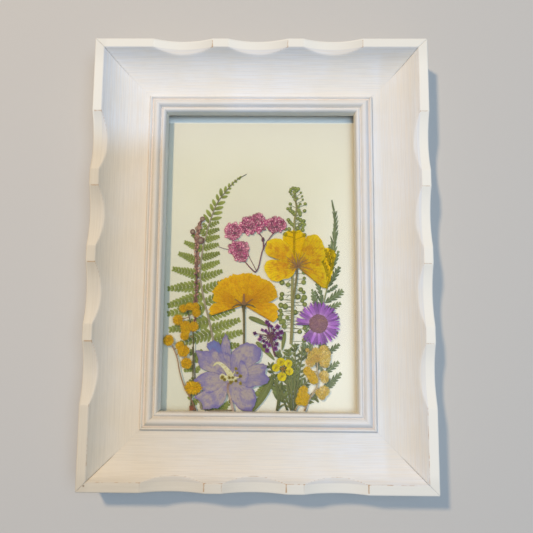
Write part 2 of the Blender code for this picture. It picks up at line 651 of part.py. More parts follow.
def add_specimens(parts, helpers):
    fern = new_material("fern_green", (0.22, 0.24, 0.06), 0.8)
    dark_leaf = new_material("leaf_green", (0.10, 0.14, 0.07), 0.8)
    blue_leaf = new_material("feather_green", (0.13, 0.19, 0.11), 0.8)
    seed = new_material("seed_green", (0.24, 0.24, 0.07), 0.8)
    brown = new_material("spike_brown", (0.20, 0.08, 0.07), 0.85)
    pink = new_material("pink_petal", (0.46, 0.08, 0.20), 0.8)
    yellow = new_material("yellow_petal", (0.86, 0.52, 0.01), 0.7)
    orange = new_material("orange_petal", (0.70, 0.30, 0.01), 0.75)
    violet = new_material("violet_ray", (0.26, 0.08, 0.46), 0.75)
    plum = new_material("plum_floret", (0.11, 0.02, 0.14), 0.8)
    lemon = new_material("lemon_floret", (0.72, 0.58, 0.02), 0.8)
    lavender = new_material("lavender_petal", (0.27, 0.23, 0.48), 0.75)
    mimosa = new_material("mimosa_gold", (0.62, 0.32, 0.01), 0.9)
    specimens = (
        ("fern_frond", fern_frond(), 1, fern),
        ("fern_leaflets", fern_pieces(), 1, fern),
        ("fern_sprig", low_fern_sprig(), 1, fern),
        ("pepperweed", pepperweed(), 1, seed),
        ("feather_leaf", feather_leaf(), 1, blue_leaf),
        ("green_foliage", green_foliage(), 2, dark_leaf),
        ("pink_sprig", pink_sprig(), 2, pink),
        ("seed_spike", seed_spike(), 2, brown),
        ("lance_leaf_upper", [leaf((-4.6, -28.1), (4.5, -32), 2.2)], 2, dark_leaf),
        ("lance_leaf_middle", [leaf((-1.1, -39.8), (4.2, -44.8), 2.2)], 2, dark_leaf),
        ("lance_leaf_small", [leaf((12, -35.5), (10.9, -41.5), 1.6)], 2, dark_leaf),
        ("lance_leaf_lower", [leaf((4.2, -56), (-2.5, -71.5), 3.6)], 3, dark_leaf),
        ("yellow_flower", yellow_flower(), 3, yellow),
        ("orange_flower", orange_flower(), 3, orange),
        ("daisy", daisy(), 3, violet),
        ("alyssum", alyssum(), 3, plum),
        ("yellow_umbel", yellow_umbel(), 4, lemon),
        ("delphinium", delphinium(), 4, lavender),
        ("right_mimosa", right_mimosa(), 4, mimosa),
        ("left_mimosa", left_mimosa(), 5, mimosa),
    )
    for name, outlines, layer, material in specimens:
        pressed(name, outlines, layer, material, parts, helpers)


def main():
    clear_scene()
    scene = bpy.context.scene.collection
    parts = new_collection("pressed_flower_frame", scene)
    helpers = new_collection("cutters", scene)
    add_frame(parts, helpers)
    add_panels(parts)
    add_specimens(parts, helpers)


main()
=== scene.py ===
# The looks of the pressed flower frame. The pieces' dictionaries are in millimetres, in the frame's own
# place: x across the picture, y towards its top, z out of its face, and 0 at the middle of its back.
import math
import random

import bmesh
import bpy
from mathutils import Matrix, Vector, noise


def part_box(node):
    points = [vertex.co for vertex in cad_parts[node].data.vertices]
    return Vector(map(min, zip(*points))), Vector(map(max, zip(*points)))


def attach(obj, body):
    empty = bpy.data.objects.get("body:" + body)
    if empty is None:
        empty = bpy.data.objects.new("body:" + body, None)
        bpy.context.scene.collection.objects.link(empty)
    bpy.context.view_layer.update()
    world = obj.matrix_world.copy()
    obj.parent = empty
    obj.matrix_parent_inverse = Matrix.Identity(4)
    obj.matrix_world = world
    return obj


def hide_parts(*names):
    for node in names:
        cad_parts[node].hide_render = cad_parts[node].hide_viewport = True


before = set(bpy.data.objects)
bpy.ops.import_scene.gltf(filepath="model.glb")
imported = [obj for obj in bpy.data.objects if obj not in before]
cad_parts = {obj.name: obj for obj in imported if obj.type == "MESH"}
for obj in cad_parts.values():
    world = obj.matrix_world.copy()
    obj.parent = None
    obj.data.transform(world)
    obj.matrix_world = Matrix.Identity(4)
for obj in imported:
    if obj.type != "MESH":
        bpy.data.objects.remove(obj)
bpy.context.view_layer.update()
mm = 0.001
goldenAngle = 2.39996  # a turn that spreads buds evenly over a disc or a ball


def rgb(red, green, blue):
    # a colour as a paint program shows it, 0 to 255, turned into the linear one that shaders use
    shares = (red / 255, green / 255, blue / 255)
    linear = [share / 12.92 if share <= 10 / 255 else ((share + 0.055) / 1.055) ** 2.4 for share in shares]
    return (*linear, 1.0)


def clamped(value):
    return min(max(value, 0), 1)


def bell(value, centre, reach):
    # 1 at the centre, and as good as 0 from twice the reach
    return math.exp(-(((value - centre) / reach) ** 2))


def heading(angle):
    return Vector((math.cos(angle), math.sin(angle)))


def atHeight(line, y):
    # the point of a line that is nearest to this height on the picture
    return min(line, key=lambda spot: abs(spot.y - y))


class Wire:
    # a shader socket that can stand in a sum
    def __init__(self, finish, socket):
        self.finish = finish
        self.socket = socket

    def sum(self, operation, first, second):
        return self.finish.node("Math", {"operation": operation}, {0: first, 1: second})

    def __add__(self, other):
        return self.sum("ADD", self, other)

    def __radd__(self, other):
        return self.sum("ADD", other, self)

    def __sub__(self, other):
        return self.sum("SUBTRACT", self, other)

    def __rsub__(self, other):
        return self.sum("SUBTRACT", other, self)

    def __mul__(self, other):
        return self.sum("MULTIPLY", self, other)

    def __rmul__(self, other):
        return self.sum("MULTIPLY", other, self)

    def __pow__(self, other):
        return self.sum("POWER", self, other)

    def __abs__(self):
        return self.sum("ABSOLUTE", self, 0)

    def sine(self):
        return self.sum("SINE", self, 0)

    def rise(self, low, high):
        # 0 below low, 1 above high and smooth between
        settings = {"interpolation_type": "SMOOTHSTEP"}
        return self.finish.node("MapRange", settings, {"Value": self, "From Min": low, "From Max": high})

    def fade(self, span):
        # the same for a place in metres, between two ends in millimetres
        return self.rise(span[0] * mm, span[1] * mm)

    def near(self, centre, reach):
        # 1 at the centre, down to 0 at reach from it
        return 1 - abs(self - centre).rise(0, reach)


class Finish:
    # one material, and the one method that adds a node to it
    def __init__(self, name, rough):
        self.material = bpy.data.materials.new(name)
        self.material.use_nodes = True
        self.tree = self.material.node_tree
        self.shader = self.tree.nodes["Principled BSDF"]
        self.shader.inputs["Roughness"].default_value = rough

    def node(self, kind, settings, inputs, output=0):
        made = self.tree.nodes.new("ShaderNode" + kind)
        for name, value in settings.items():
            if name == "stops":
                self.setStops(made.color_ramp.elements, value)
            else:
                setattr(made, name, value)
        for name, value in inputs.items():
            self.join(value, made.inputs[name])
        return Wire(self, made.outputs[output])

    def setStops(self, elements, stops):
        while len(elements) < len(stops):
            elements.new(1.0)
        for element, (place, color) in zip(elements, stops):
            element.position = place
            element.color = color

    def join(self, value, socket):
        if isinstance(value, Wire):
            self.tree.links.new(value.socket, socket)
        else:
            socket.default_value = value

    def spot(self):
        return self.node("TexCoord", {}, {}, "Object")

    def sides(self, spot):
        # how far across and how far up, in metres
        return [self.node("SeparateXYZ", {}, {"Vector": spot}, axis) for axis in (0, 1)]

    def away(self, spot, place):
        # the distance in metres from a place in millimetres
        inputs = {0: spot, 1: tuple(part * mm for part in place)}
        return self.node("VectorMath", {"operation": "DISTANCE"}, inputs, "Value")

    def attribute(self, name):
        return self.node("Attribute", {"attribute_name": name}, {}, "Fac")

    def noise(self, spot, scale, detail=3.0, rough=0.55):
        inputs = {"Vector": spot, "Scale": scale, "Detail": detail, "Roughness": rough}
        return self.node("TexNoise", {}, inputs, "Fac")

    def vector(self, x, y, z):
        return self.node("CombineXYZ", {}, {"X": x, "Y": y, "Z": z})

    def stretch(self, spot, sizes):
        return self.node("VectorMath", {"operation": "MULTIPLY"}, {0: spot, 1: sizes})

    def blend(self, mask, first, second):
        # the first colour where the mask is 0, the second where it is 1
        settings = {"data_type": "RGBA"}
        return self.node("Mix", settings, {"Factor": mask, 6: first, 7: second}, 2)

    def brighten(self, color, value):
        return self.node("HueSaturation", {}, {"Color": color, "Value": value})

    def ramp(self, value, stops):
        return self.node("ValToRGB", {"stops": stops}, {"Fac": value}, "Color")

    def setSurface(self, shader):
        self.join(shader, self.tree.nodes["Material Output"].inputs["Surface"])

    def setColor(self, color):
        self.join(color, self.shader.inputs["Base Color"])

    def setRough(self, rough):
        self.join(rough, self.shader.inputs["Roughness"])

    def setBump(self, height, depth, strength=1.0):
        # depth in millimetres
        bump = self.node("Bump", {}, {"Height": height, "Distance": depth * mm, "Strength": strength})
        self.join(bump, self.shader.inputs["Normal"])


def newShape():
    shape = bmesh.new()
    for name in ("along", "across", "tint"):
        shape.verts.layers.float.new(name)
    return shape


def markSlot(verts, slot):
    for face in {face for vert in verts for face in vert.link_faces}:
        face.material_index = slot


def addSheet(shape, columns, rows, place, tint, slot=0):
    # a grid laid out by place(u, v), in millimetres, where u and v run from 0 to 1
    verts = bmesh.ops.create_grid(shape, x_segments=columns, y_segments=rows, size=1)["verts"]
    along, across, tints = (shape.verts.layers.float[name] for name in ("along", "across", "tint"))
    for vert in verts:
        u, v = (vert.co.x + 1) / 2, (vert.co.y + 1) / 2
        vert.co = Vector(place(u, v)) * mm
        vert[along] = u
        vert[across] = 2 * v - 1
        vert[tints] = tint
    markSlot(verts, slot)
    bmesh.ops.remove_doubles(shape, verts=verts, dist=1e-7)
    return [vert for vert in verts if vert.is_valid]


def thicken(shape, thickness):
    # gives every sheet made so far a body; stems and balls come after it
    for face in shape.faces:
        face.normal_update()
        if face.normal.z < 0:
            face.normal_flip()
    bmesh.ops.solidify(shape, geom=shape.faces[:], thickness=thickness * mm)


def smoothLine(points, steps):
    # a curve through every point
    spots = [Vector(point) for point in points]
    last = len(spots) - 1
    line = []
    for index in range(last):
        a, b, c, d = (spots[min(max(index + shift, 0), last)] for shift in (-1, 0, 1, 2))
        for step in range(steps):
            t = step / steps
            bend = (2 * a - 5 * b + 4 * c - d) * t**2 + (3 * b - a - 3 * c + d) * t**3
            line.append((2 * b + (c - a) * t + bend) / 2)
    return [*line, spots[-1]]


def between(line, share):
    # the point at this share of a line's points
    place = share * (len(line) - 1)
    index = min(int(place), len(line) - 2)
    return line[index].lerp(line[index + 1], place - index)


def addFan(shape, foot, outline, height, look, tint, slot=0):
    # a petal: its outline drawn in rings towards its foot, so that its veins run from there
    rim = smoothLine(outline, 3)
    foot = Vector(foot)
    phase = tint * 40

    def place(u, v):
        out = between(rim, v) - foot
        out *= 1 + look["frill"] * u**4 * noise.noise(Vector((v * look["frills"], phase, 0)))
        spot = foot + out * u
        lift = look["cup"] * u * u + look["wave"] * u * math.sin(v * look["folds"] * math.tau + phase)
        return spot.x, spot.y, height + lift

    addSheet(shape, look["rings"], look["columns"], place, tint, slot)


def addLobed(shape, foot, tip, width, height, look, tint):
    # a leaf with lobes along both sides, which lean towards its tip
    foot, tip = Vector(foot), Vector(tip)
    reach = (tip - foot).length
    ahead = (tip - foot) / reach
    side = Vector((-ahead.y, ahead.x))
    cut, bend = look["cut"], look.get("bend", 0)

    def place(u, v):
        across = 2 * v - 1
        taper = math.sin(math.pi * (0.1 + 0.88 * u)) ** 0.7
        lobe = cut + (1 - cut) * abs(math.sin(math.pi * look["lobes"] * u)) ** look["sharp"]
        half = width / 2 * taper * lobe if 0 < u < 1 else 0.02
        forward = u * reach + look["lean"] * abs(across) * half
        spot = foot + ahead * forward + side * (across * half + bend * math.sin(math.pi * u))
        return spot.x, spot.y, height + 0.06 * (1 - across * across)

    addSheet(shape, look["lobes"] * 6, 4, place, tint)


def addBlade(shape, foot, tip, width, height, bend, tint, columns=8, blunt=0.6):
    # a plain narrow leaf or ray with a rounded end
    foot, tip = Vector(foot), Vector(tip)
    side = Vector((foot.y - tip.y, tip.x - foot.x)).normalized()

    def place(u, v):
        across = 2 * v - 1
        half = width / 2 * math.sin(math.pi * min(0.06 + 0.93 * u**0.8, 1.0)) ** blunt
        spot = foot.lerp(tip, u) + side * (across * half + bend * math.sin(math.pi * u))
        return spot.x, spot.y, height + 0.05 * (1 - across * across)

    return addSheet(shape, columns, 2, place, tint)


def addStem(shape, points, startWidth, endWidth, height, tint=0.5, slot=1, sides=8, flat=0.5, steps=4):
    # a pressed stalk, closed at both ends
    line = smoothLine(points, steps)
    line = [line[0], *line, line[-1]]
    last = len(line) - 1

    def place(u, v):
        index = round(u * last)
        t = index / last
        half = 0 if index in (0, last) else (startWidth * (1 - t) + endWidth * t) / 2
        before, after = line[max(index - 1, 0)], line[min(index + 1, last)]
        ahead = (after - before).normalized()
        angle = math.tau * v
        spot = line[index] + Vector((-ahead.y, ahead.x)) * half * math.cos(angle)
        return spot.x, spot.y, height + flat * half * math.sin(angle)

    addSheet(shape, last, sides, place, tint, slot)


def addBall(shape, centre, radius, height, flat=0.5, level=2, lumps=0.0, tint=0.5, slot=0, oval=1.0):
    verts = bmesh.ops.create_icosphere(shape, subdivisions=level, radius=1)["verts"]
    along, across, tints = (shape.verts.layers.float[name] for name in ("along", "across", "tint"))
    for vert in verts:
        out = vert.co.normalized()
        swell = 1 + lumps * noise.noise(out * 3 + Vector((centre[0], centre[1], 0)))
        vert[along] = 1 - abs(out.z)
        vert[across] = out.x
        vert[tints] = tint
        spot = Vector((out.x, out.y * oval, out.z * flat)) * radius * swell
        vert.co = (Vector((centre[0], centre[1], height)) + spot) * mm
    markSlot(verts, slot)
    return verts


def withFaces(verts):
    faces = {face for vert in verts for face in vert.link_faces}
    edges = {edge for vert in verts for edge in vert.link_edges}
    return [*verts, *edges, *faces]


def copyVerts(shape, verts, matrix, tint=None):
    # a copy of some of the shape's geometry, moved by the matrix
    made = bmesh.ops.duplicate(shape, geom=withFaces(verts))["geom"]
    verts = [item for item in made if isinstance(item, bmesh.types.BMVert)]
    bmesh.ops.transform(shape, matrix=matrix, verts=verts)
    if tint is not None:
        tints = shape.verts.layers.float["tint"]
        for vert in verts:
            vert[tints] = tint


def setDown(x, y, height, turn, size):
    # a matrix that scales, turns and places a shape made about the origin
    place = Matrix.Translation(Vector((x, y, height)) * mm)
    return place @ Matrix.Rotation(turn, 4, "Z") @ Matrix.Scale(size, 4)


def finishPiece(name, shape, finishes, replaced, sharp=40):
    bmesh.ops.recalc_face_normals(shape, faces=shape.faces)
    mesh = bpy.data.meshes.new(name)
    shape.to_mesh(mesh)
    shape.free()
    for finish in finishes:
        mesh.materials.append(finish.material)
    mesh.shade_smooth()
    mesh.set_sharp_from_angle(angle=math.radians(sharp))
    piece = bpy.data.objects.new(name, mesh)
    bpy.context.scene.collection.objects.link(piece)
    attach(piece, "root")
    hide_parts(*replaced)
    print(f"{name}: {sum(len(face.vertices) - 2 for face in mesh.polygons)} triangles")


def layerOf(node):
    # the height at which a pressed specimen lies, in millimetres
    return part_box(node)[0].z / mm


# the wooden rails
railSizes = {
    "sightWidth": 92.1,
    "sightHeight": 142.9,
    "railWidth": 33.5,
    "depth": 22.0,
    "cornerRound": 0.6,
    "rimWidth": 4.4,
    "coveEnd": 25.0,
    "coveDrop": 9.3,
    "coveCurve": 3.0,
    "coveSpread": 1.15,  # above 1, it sets the cove's rows closer together near the rim
    "rabbetEdge": 28.0,
    "ledgeHeight": 11.8,
    "scoopDepth": 3.0,
    "scoopChord": 28.2,
    "scoopPitch": 36.0,
    "scoopSoftness": 0.3,
    "scoopWobble": 0.12,
    "shortScoops": (3, -1.4),  # how many, and how far their middle is from the rail's
    "longScoops": (4, 0.6),
    "mitreGap": 0.06,
    "mitreOpen": (17, 4),  # the joint is shut from this far in, and opens outwards over this much
    "mitreLips": [(0, 0.3, 0.1), (0.84, 0.42, -0.05)],  # distance from the joint, reach and drop
    "unevenness": 0.035,
    "columnStep": 0.42,
    "outerHeights": (0, 5, 11, 16, 18.2),
    "cornerSteps": 5,
    "rimSteps": 8,
    "coveSteps": 44,
    "wallSteps": 4,
    # the moulding beside the opening: distance in from the outer face, height over the cove's floor
    "moulding": [
        (25.0, 0.0), (25.15, 0.1), (25.35, 0.65), (25.65, 1.6), (25.95, 1.95), (26.35, 1.9), (26.75, 1.35),
        (27.1, 1.15), (27.65, 1.6), (28.4, 2.65), (29.1, 3.2), (29.8, 3.25), (30.4, 2.95), (30.95, 2.2),
        (31.3, 1.45), (31.55, 1.3), (31.85, 1.95), (32.3, 2.45), (32.9, 2.45), (33.5, 1.8),
    ],
    # from the bottom rail round to the left one: name, node, wear of its edges, and lean of its inner wall
    "rails": [
        ("bottomRail", "rail_bottom", 0.6, 0.2),
        ("rightRail", "rail_right", 0.4, 0.7),
        ("topRail", "rail_top", 0.5, 1.0),
        ("leftRail", "rail_left", 0.6, 1.0),
    ],
}
outerWidth = railSizes["sightWidth"] + 2 * railSizes["railWidth"]
outerHeight = railSizes["sightHeight"] + 2 * railSizes["railWidth"]


def softLower(first, second, softness):
    # the lower of two heights, with a rounded edge where they cross
    share = clamped(0.5 + 0.5 * (second - first) / softness)
    return second * (1 - share) + first * share - softness * share * (1 - share)


def railRows(wallLean):
    # round a rail's section: distance in, height, and how the height follows the scoops
    s = railSizes
    top, curl = s["depth"], s["cornerRound"]
    rows = [(0, height, "fixed") for height in s["outerHeights"]]
    for step in range(s["cornerSteps"] + 1):
        angle = math.pi / 2 * step / s["cornerSteps"]
        rows.append((curl * (1 - math.cos(angle)), curl * (1 - math.sin(angle)), "corner"))
    for step in range(1, s["rimSteps"] + 1):
        rows.append((curl + (s["rimWidth"] - curl) * step / s["rimSteps"], top, "top"))
    for step in range(1, s["coveSteps"]):
        t = (step / s["coveSteps"]) ** s["coveSpread"]
        drop = s["coveDrop"] * (1 - (1 - t) ** s["coveCurve"])
        rows.append((s["rimWidth"] + (s["coveEnd"] - s["rimWidth"]) * t, top - drop, "top"))
    for spot in smoothLine(s["moulding"], 3):
        rows.append((spot.x, top - s["coveDrop"] + spot.y, "top"))
    wallTop = top - s["coveDrop"] + s["moulding"][-1][1]
    for step in range(1, s["wallSteps"] + 1):
        t = step / s["wallSteps"]
        height = wallTop + (s["ledgeHeight"] - wallTop) * t
        rows.append((s["railWidth"] + wallLean * t, height, "wall"))
    rows += [(s["rabbetEdge"], s["ledgeHeight"], "back"), (s["rabbetEdge"], 0, "back"), (0, 0, "back")]
    return rows


# the painted light and shade that a rail's form gives its paint, and the wear of its edges
formLook = {
    "grooves": [(27.1, 0.65, 1.0), (25.2, 0.6, 0.75)],  # distance in, reach and strength
    "grooveShade": (2.3, 1.3),  # on the bottom rail and on the right one
    "scoopReach": 3,  # past the rim, on the top and left rails
    "bottomScoop": -0.4,
    "bottomCove": (0.9, 14, 6),  # strength, where it has faded out, and over how much
    "edgeWidth": 0.16,
    "edgeWear": (0.15, 0.85),  # what every scoop's edge has, and what the lit side adds
    "bottomWear": 0.75,
}


def formLight(quarterTurns, inset, leaning, scooped):
    # above 0 where a rail faces the lamp, below 0 where it is turned from it
    look = formLook
    if quarterTurns > 1:
        facesLamp = scooped and inset < railSizes["rimWidth"] + look["scoopReach"]
        return (0.5 - leaning) * 2 if facesLamp else 0
    depth = look["grooveShade"][quarterTurns]
    light = -sum(depth * strength * bell(inset, centre, reach) for centre, reach, strength in look["grooves"])
    if quarterTurns == 0 and inset > railSizes["rimWidth"]:
        strength, end, fading = look["bottomCove"]
        light += look["bottomScoop"] if scooped else strength * clamped((end - inset) / fading)
    return light


def buildRail(quarterTurns, name, node, wear, wallLean, finishes):
    s = railSizes
    isLong = quarterTurns % 2 == 1
    length, reach = (outerHeight, outerWidth / 2) if isLong else (outerWidth, outerHeight / 2)
    count, middle = s["longScoops" if isLong else "shortScoops"]
    upperSide = -1 if quarterTurns > 1 else 1
    scoops = [upperSide * (middle + (index - (count - 1) / 2) * s["scoopPitch"]) for index in range(count)]
    radius = (s["scoopChord"] ** 2 / 4 + s["scoopDepth"] ** 2) / (2 * s["scoopDepth"])
    openTo, closesOver = s["mitreOpen"]
    leastWear, litWear = formLook["edgeWear"]
    rows = railRows(wallLean)
    columns, last = round(length / s["columnStep"]), len(rows) - 1
    shape = newShape()
    layers = {key: shape.verts.layers.float.new(key) for key in ("run", "inset", "edge", "facing", "scooped")}
    verts = bmesh.ops.create_grid(shape, x_segments=columns, y_segments=last, size=1)["verts"]
    turn = Matrix.Rotation(quarterTurns * math.pi / 2, 3, "Z")
    for vert in verts:
        inset, height, kind = rows[round((vert.co.y + 1) / 2 * last)]
        mitreOpen = clamped((openTo - inset) / closesOver)
        halfRun = length / 2 - inset - s["mitreGap"] * max(mitreOpen, 0.2)
        run = vert.co.x * halfRun
        offset = run - min(scoops, key=lambda scoop: abs(run - scoop))
        wobble = s["scoopWobble"] * noise.noise(Vector((run * 0.11, quarterTurns * 9, 3)))
        dip = math.sqrt(max(radius**2 - offset**2, 0))
        floor = s["depth"] - s["scoopDepth"] + wobble + radius - dip
        fromMitre = halfRun - abs(run)
        drops = [drop * bell(fromMitre, away, width) for away, width, drop in s["mitreLips"]]
        mitreDrop = mitreOpen * sum(drops)
        edge, facing = 0, 0
        if kind == "corner":
            height = softLower(s["depth"], floor, s["scoopSoftness"]) - height
        elif kind == "top":
            leaning = 0.5 + 0.5 * upperSide * offset / (s["scoopChord"] / 2)
            facing = formLight(quarterTurns, inset, leaning, floor < height)
            lit = clamped(max(leaning, formLook["bottomWear"]) if quarterTurns == 0 else leaning)
            edge = bell(height, floor, formLook["edgeWidth"]) * (leastWear + litWear * lit**2)
            height = softLower(height, floor, s["scoopSoftness"])
            height += s["unevenness"] * noise.noise(Vector((run * 0.25, inset * 0.9, quarterTurns * 5)))
        vert[layers["run"]] = run
        # the outer side takes one value, which gives it brush marks of its own
        vert[layers["inset"]] = -2 if kind in ("fixed", "corner") and inset < 0.3 else inset
        vert[layers["edge"]] = edge * wear
        vert[layers["facing"]] = facing
        vert[layers["scooped"]] = 1 if kind == "top" and abs(offset) < s["scoopChord"] / 2 - 0.5 else 0
        if kind not in ("fixed", "back"):
            height -= mitreDrop
        flat = turn @ Vector((run, inset - reach, 0))
        vert.co = Vector((flat.x, flat.y, height)) * mm
    backRows = {index for index, row in enumerate(rows) if row[2] == "back"}
    for index, face in enumerate(shape.faces):
        face.material_index = 1 if index // columns + 1 in backRows else 0
    bmesh.ops.remove_doubles(shape, verts=shape.verts, dist=1e-7)
    bmesh.ops.holes_fill(shape, edges=[edge for edge in shape.edges if edge.is_boundary])
    finishPiece(name, shape, finishes, [node], sharp=60)


paintLook = {
    "paint": rgb(226, 228, 230),
    "warmPaint": rgb(225, 223, 217),
    "shadePaint": rgb(211, 210, 209),
    "creamPaint": rgb(232, 222, 206),
    "rimPaint": rgb(236, 234, 225),
    # painted warm shade
    "warmShadePaint": rgb(212, 199, 176),
    "glaze": rgb(220, 194, 174),
    "wood": rgb(182, 148, 110),
    "sightWall": rgb(234, 228, 210),
    # painted light on the bottom rail's inner wall
    "litLowerWall": rgb(252, 242, 216),
    "nail": rgb(112, 90, 66),
    "nailHole": (-75.8, -102.0, 22.0),
    "nailFade": (0.25, 0.6),
    "strokes": 0.5,
    "hairs": 0.25,
    # each pair is where a change starts and where it is full: x or y in the frame
    # where the painted warm shade lies
    "warmShadeLeftOf": (-62, 45),
    "warmShadeBelow": (47, 67),
    "warmRightOf": (56, 60),
    # where the painted shade and painted light of the rails lie
    "bottomFace": (-101, -95),
    "leftFace": (-75.5, -73),
    "topFace": (90, 100),
    "litBandAbove": (72, 84),
    "litLowerWallBelow": (-71.3, -70.8),
    "wornBelow": (-90, 0),
    # and these are distances in from the rail's outer face
    "rimEnd": (4.1, 4.6),
    "outerEnd": (4.1, 8),
    "warmStart": (4.6, 8),
    "topShadeEnd": (7, 10),
    "litBandStart": (18, 24),
    "litBandEnd": (24.8, 25),
    "wallStart": (33.45, 33.9),
    "glazed": [(25.2, 0.4, 0.35), (27.05, 0.4, 0.7), (31.5, 0.35, 0.3), (29.4, 0.25, 0.3)],  # with strength
    "rimLine": (4.5, 0.35),
}


def makePaint():
    look = paintLook
    finish = Finish("brushedWhitePaint", 0.42)
    spot = finish.spot()
    x, y = finish.sides(spot)
    run, inset = finish.attribute("run"), finish.attribute("inset")
    strokes = finish.noise(finish.vector(run * 0.05, inset * 2.6, 0), 1.0, 4.0, 0.6)
    hairs = finish.noise(finish.vector(run * 0.02, inset * 1.3, 9), 1.0, 2.0, 0.5)
    broad = finish.noise(spot, 38, 3.0, 0.6)
    spots = finish.noise(spot, 420, 3.0, 0.65)
    marks = strokes.rise(0.42, 0.66)

    color = finish.blend(broad.rise(0.35, 0.7), look["paint"], look["warmPaint"])
    color = finish.blend(marks * look["strokes"], color, look["shadePaint"])
    color = finish.blend(hairs.rise(0.46, 0.62) * look["hairs"], color, look["creamPaint"])
    color = finish.blend(inset.rise(*look["rimEnd"]), look["rimPaint"], color)

    # painted warm shade, darker and yellower, most at the lower left
    warmShade = (1 - y.fade(look["warmShadeBelow"])) * (1 - x.fade(look["warmShadeLeftOf"])) * (0.65 + 0.45 * broad)
    color = finish.blend(warmShade, color, look["warmShadePaint"])
    color = finish.brighten(color, 1.015 - marks * warmShade * 0.06 + hairs.rise(0.42, 0.6) * warmShade * 0.03)
    # the same painted warm shade towards the right, inside the rims
    warm = x.fade(look["warmRightOf"]) * inset.rise(*look["warmStart"]) * 0.25
    color = finish.blend(warm, color, look["warmShadePaint"])

    # painted shade on the outer faces and rims at the bottom and left and on the top rail's rim, painted
    # light on a band low in the top cove, and the painted light and shade of each rail's form
    bottom, left = 1 - y.fade(look["bottomFace"]), 1 - x.fade(look["leftFace"])
    shaded = (1 - inset.rise(*look["outerEnd"])) * (bottom * 0.085 + left * 0.04)
    shaded = shaded + (1 - inset.rise(*look["topShadeEnd"])) * y.fade(look["topFace"]) * 0.065
    pale = inset.rise(*look["litBandStart"]) * (1 - inset.rise(*look["litBandEnd"]))
    pale = y.fade(look["litBandAbove"]) * pale * 0.045
    color = finish.brighten(color, 1.0 - shaded + pale + finish.attribute("facing") * 0.09)

    # brown glaze in the hollows of the moulding
    glazed = 0
    for centre, reach, amount in look["glazed"]:
        glazed = inset.near(centre, reach) * amount + glazed
    glazed = glazed * finish.noise(finish.vector(run * 0.12, inset, 7), 1.0, 2.0).rise(0.25, 0.6)
    color = finish.blend(glazed, color, look["glaze"])

    # rubbed through to the wood along the scoops' edges and the rim's inner line
    breaks = finish.noise(finish.vector(run * 0.16, 3, 1), 1.0, 3.0).rise(0.42, 0.55)
    rimLine = inset.near(*look["rimLine"]) * breaks * (1 - finish.attribute("scooped"))
    worn = finish.attribute("edge") * 2.2 + rimLine * (0.5 + 0.35 * (1 - y.fade(look["wornBelow"])))
    worn = (worn * (0.35 + spots)).rise(0.35, 0.95)
    color = finish.blend(worn * 0.85, color, look["wood"])

    wall = inset.rise(*look["wallStart"])
    color = finish.blend(wall, color, look["sightWall"])
    # painted light: the bottom rail's inner wall is lighter, where the lamp falls on it
    color = finish.blend(wall * (1 - y.fade(look["litLowerWallBelow"])), color, look["litLowerWall"])
    hole = 0.7 - 0.7 * finish.away(spot, look["nailHole"]).fade(look["nailFade"])
    finish.setColor(finish.blend(hole, color, look["nail"]))
    finish.setRough(0.38 + strokes * 0.22)
    finish.setBump(strokes * 0.6 + spots * 0.4, 0.07, 0.7)
    return finish


bareWoodLook = {
    "grain": [(0.3, rgb(168, 128, 84)), (0.55, rgb(200, 164, 116)), (0.75, rgb(216, 186, 142))],
    "paintSmears": rgb(226, 220, 208),
}


def makeBareWood():
    finish = Finish("bareWood", 0.75)
    run, inset = finish.attribute("run"), finish.attribute("inset")
    grain = finish.noise(finish.vector(run * 0.03, inset * 1.1, 5), 1.0, 5.0, 0.65)
    color = finish.ramp(grain, bareWoodLook["grain"])
    smears = finish.noise(finish.spot(), 60).rise(0.62, 0.75) * 0.5
    finish.setColor(finish.blend(smears, color, bareWoodLook["paintSmears"]))
    finish.setBump(grain, 0.15)
    return finish


def buildFrame():
    finishes = [makePaint(), makeBareWood()]
    for quarterTurns, rail in enumerate(railSizes["rails"]):
        buildRail(quarterTurns, *rail, finishes)
    print("rails built")


# the glass, the card, and the board and tabs behind it
panelLook = {
    "glassTint": (0.985, 0.99, 0.985, 1),
    "card": rgb(221, 218, 195),
    "cardPale": rgb(229, 226, 206),
    "cardDeep": rgb(214, 208, 182),
    # painted light on the card: glare towards the lower right, cool light towards the top, and light in the
    # top lip's shadow
    "cardGlare": rgb(250, 249, 236),
    "cardCoolLight": rgb(230, 228, 218),
    "cardBandLight": rgb(250, 255, 252),
    "glareFrom": (-5, 50),
    "coolLightAbove": (35, 66),
    "bandLightAbove": (67.9, 68.9),  # the strip in the top lip's shadow, painted lighter and bluer
    "marks": [(5.1, 57.2, 0.5), (35.6, 56.8, 0.7)],  # small stains: x, y and radius
    "markHeight": 7,
    "board": rgb(138, 104, 70),
    "boardDark": rgb(104, 74, 46),
    "steel": rgb(168, 168, 166),
    "steelDark": rgb(120, 118, 114),
}


def makeGlass():
    finish = Finish("clearGlass", 0.0)
    clear = finish.node("BsdfTransparent", {}, {"Color": panelLook["glassTint"]}, "BSDF")
    smear = finish.noise(finish.spot(), 25, 2.0)
    gloss = finish.node("BsdfGlossy", {}, {"Color": (1, 1, 1, 1), "Roughness": 0.2}, "BSDF")
    facing = finish.node("Fresnel", {}, {"IOR": 1.45})
    finish.setSurface(finish.node("MixShader", {}, {0: facing * (0.6 + smear * 0.2), 1: clear, 2: gloss}))
    return finish


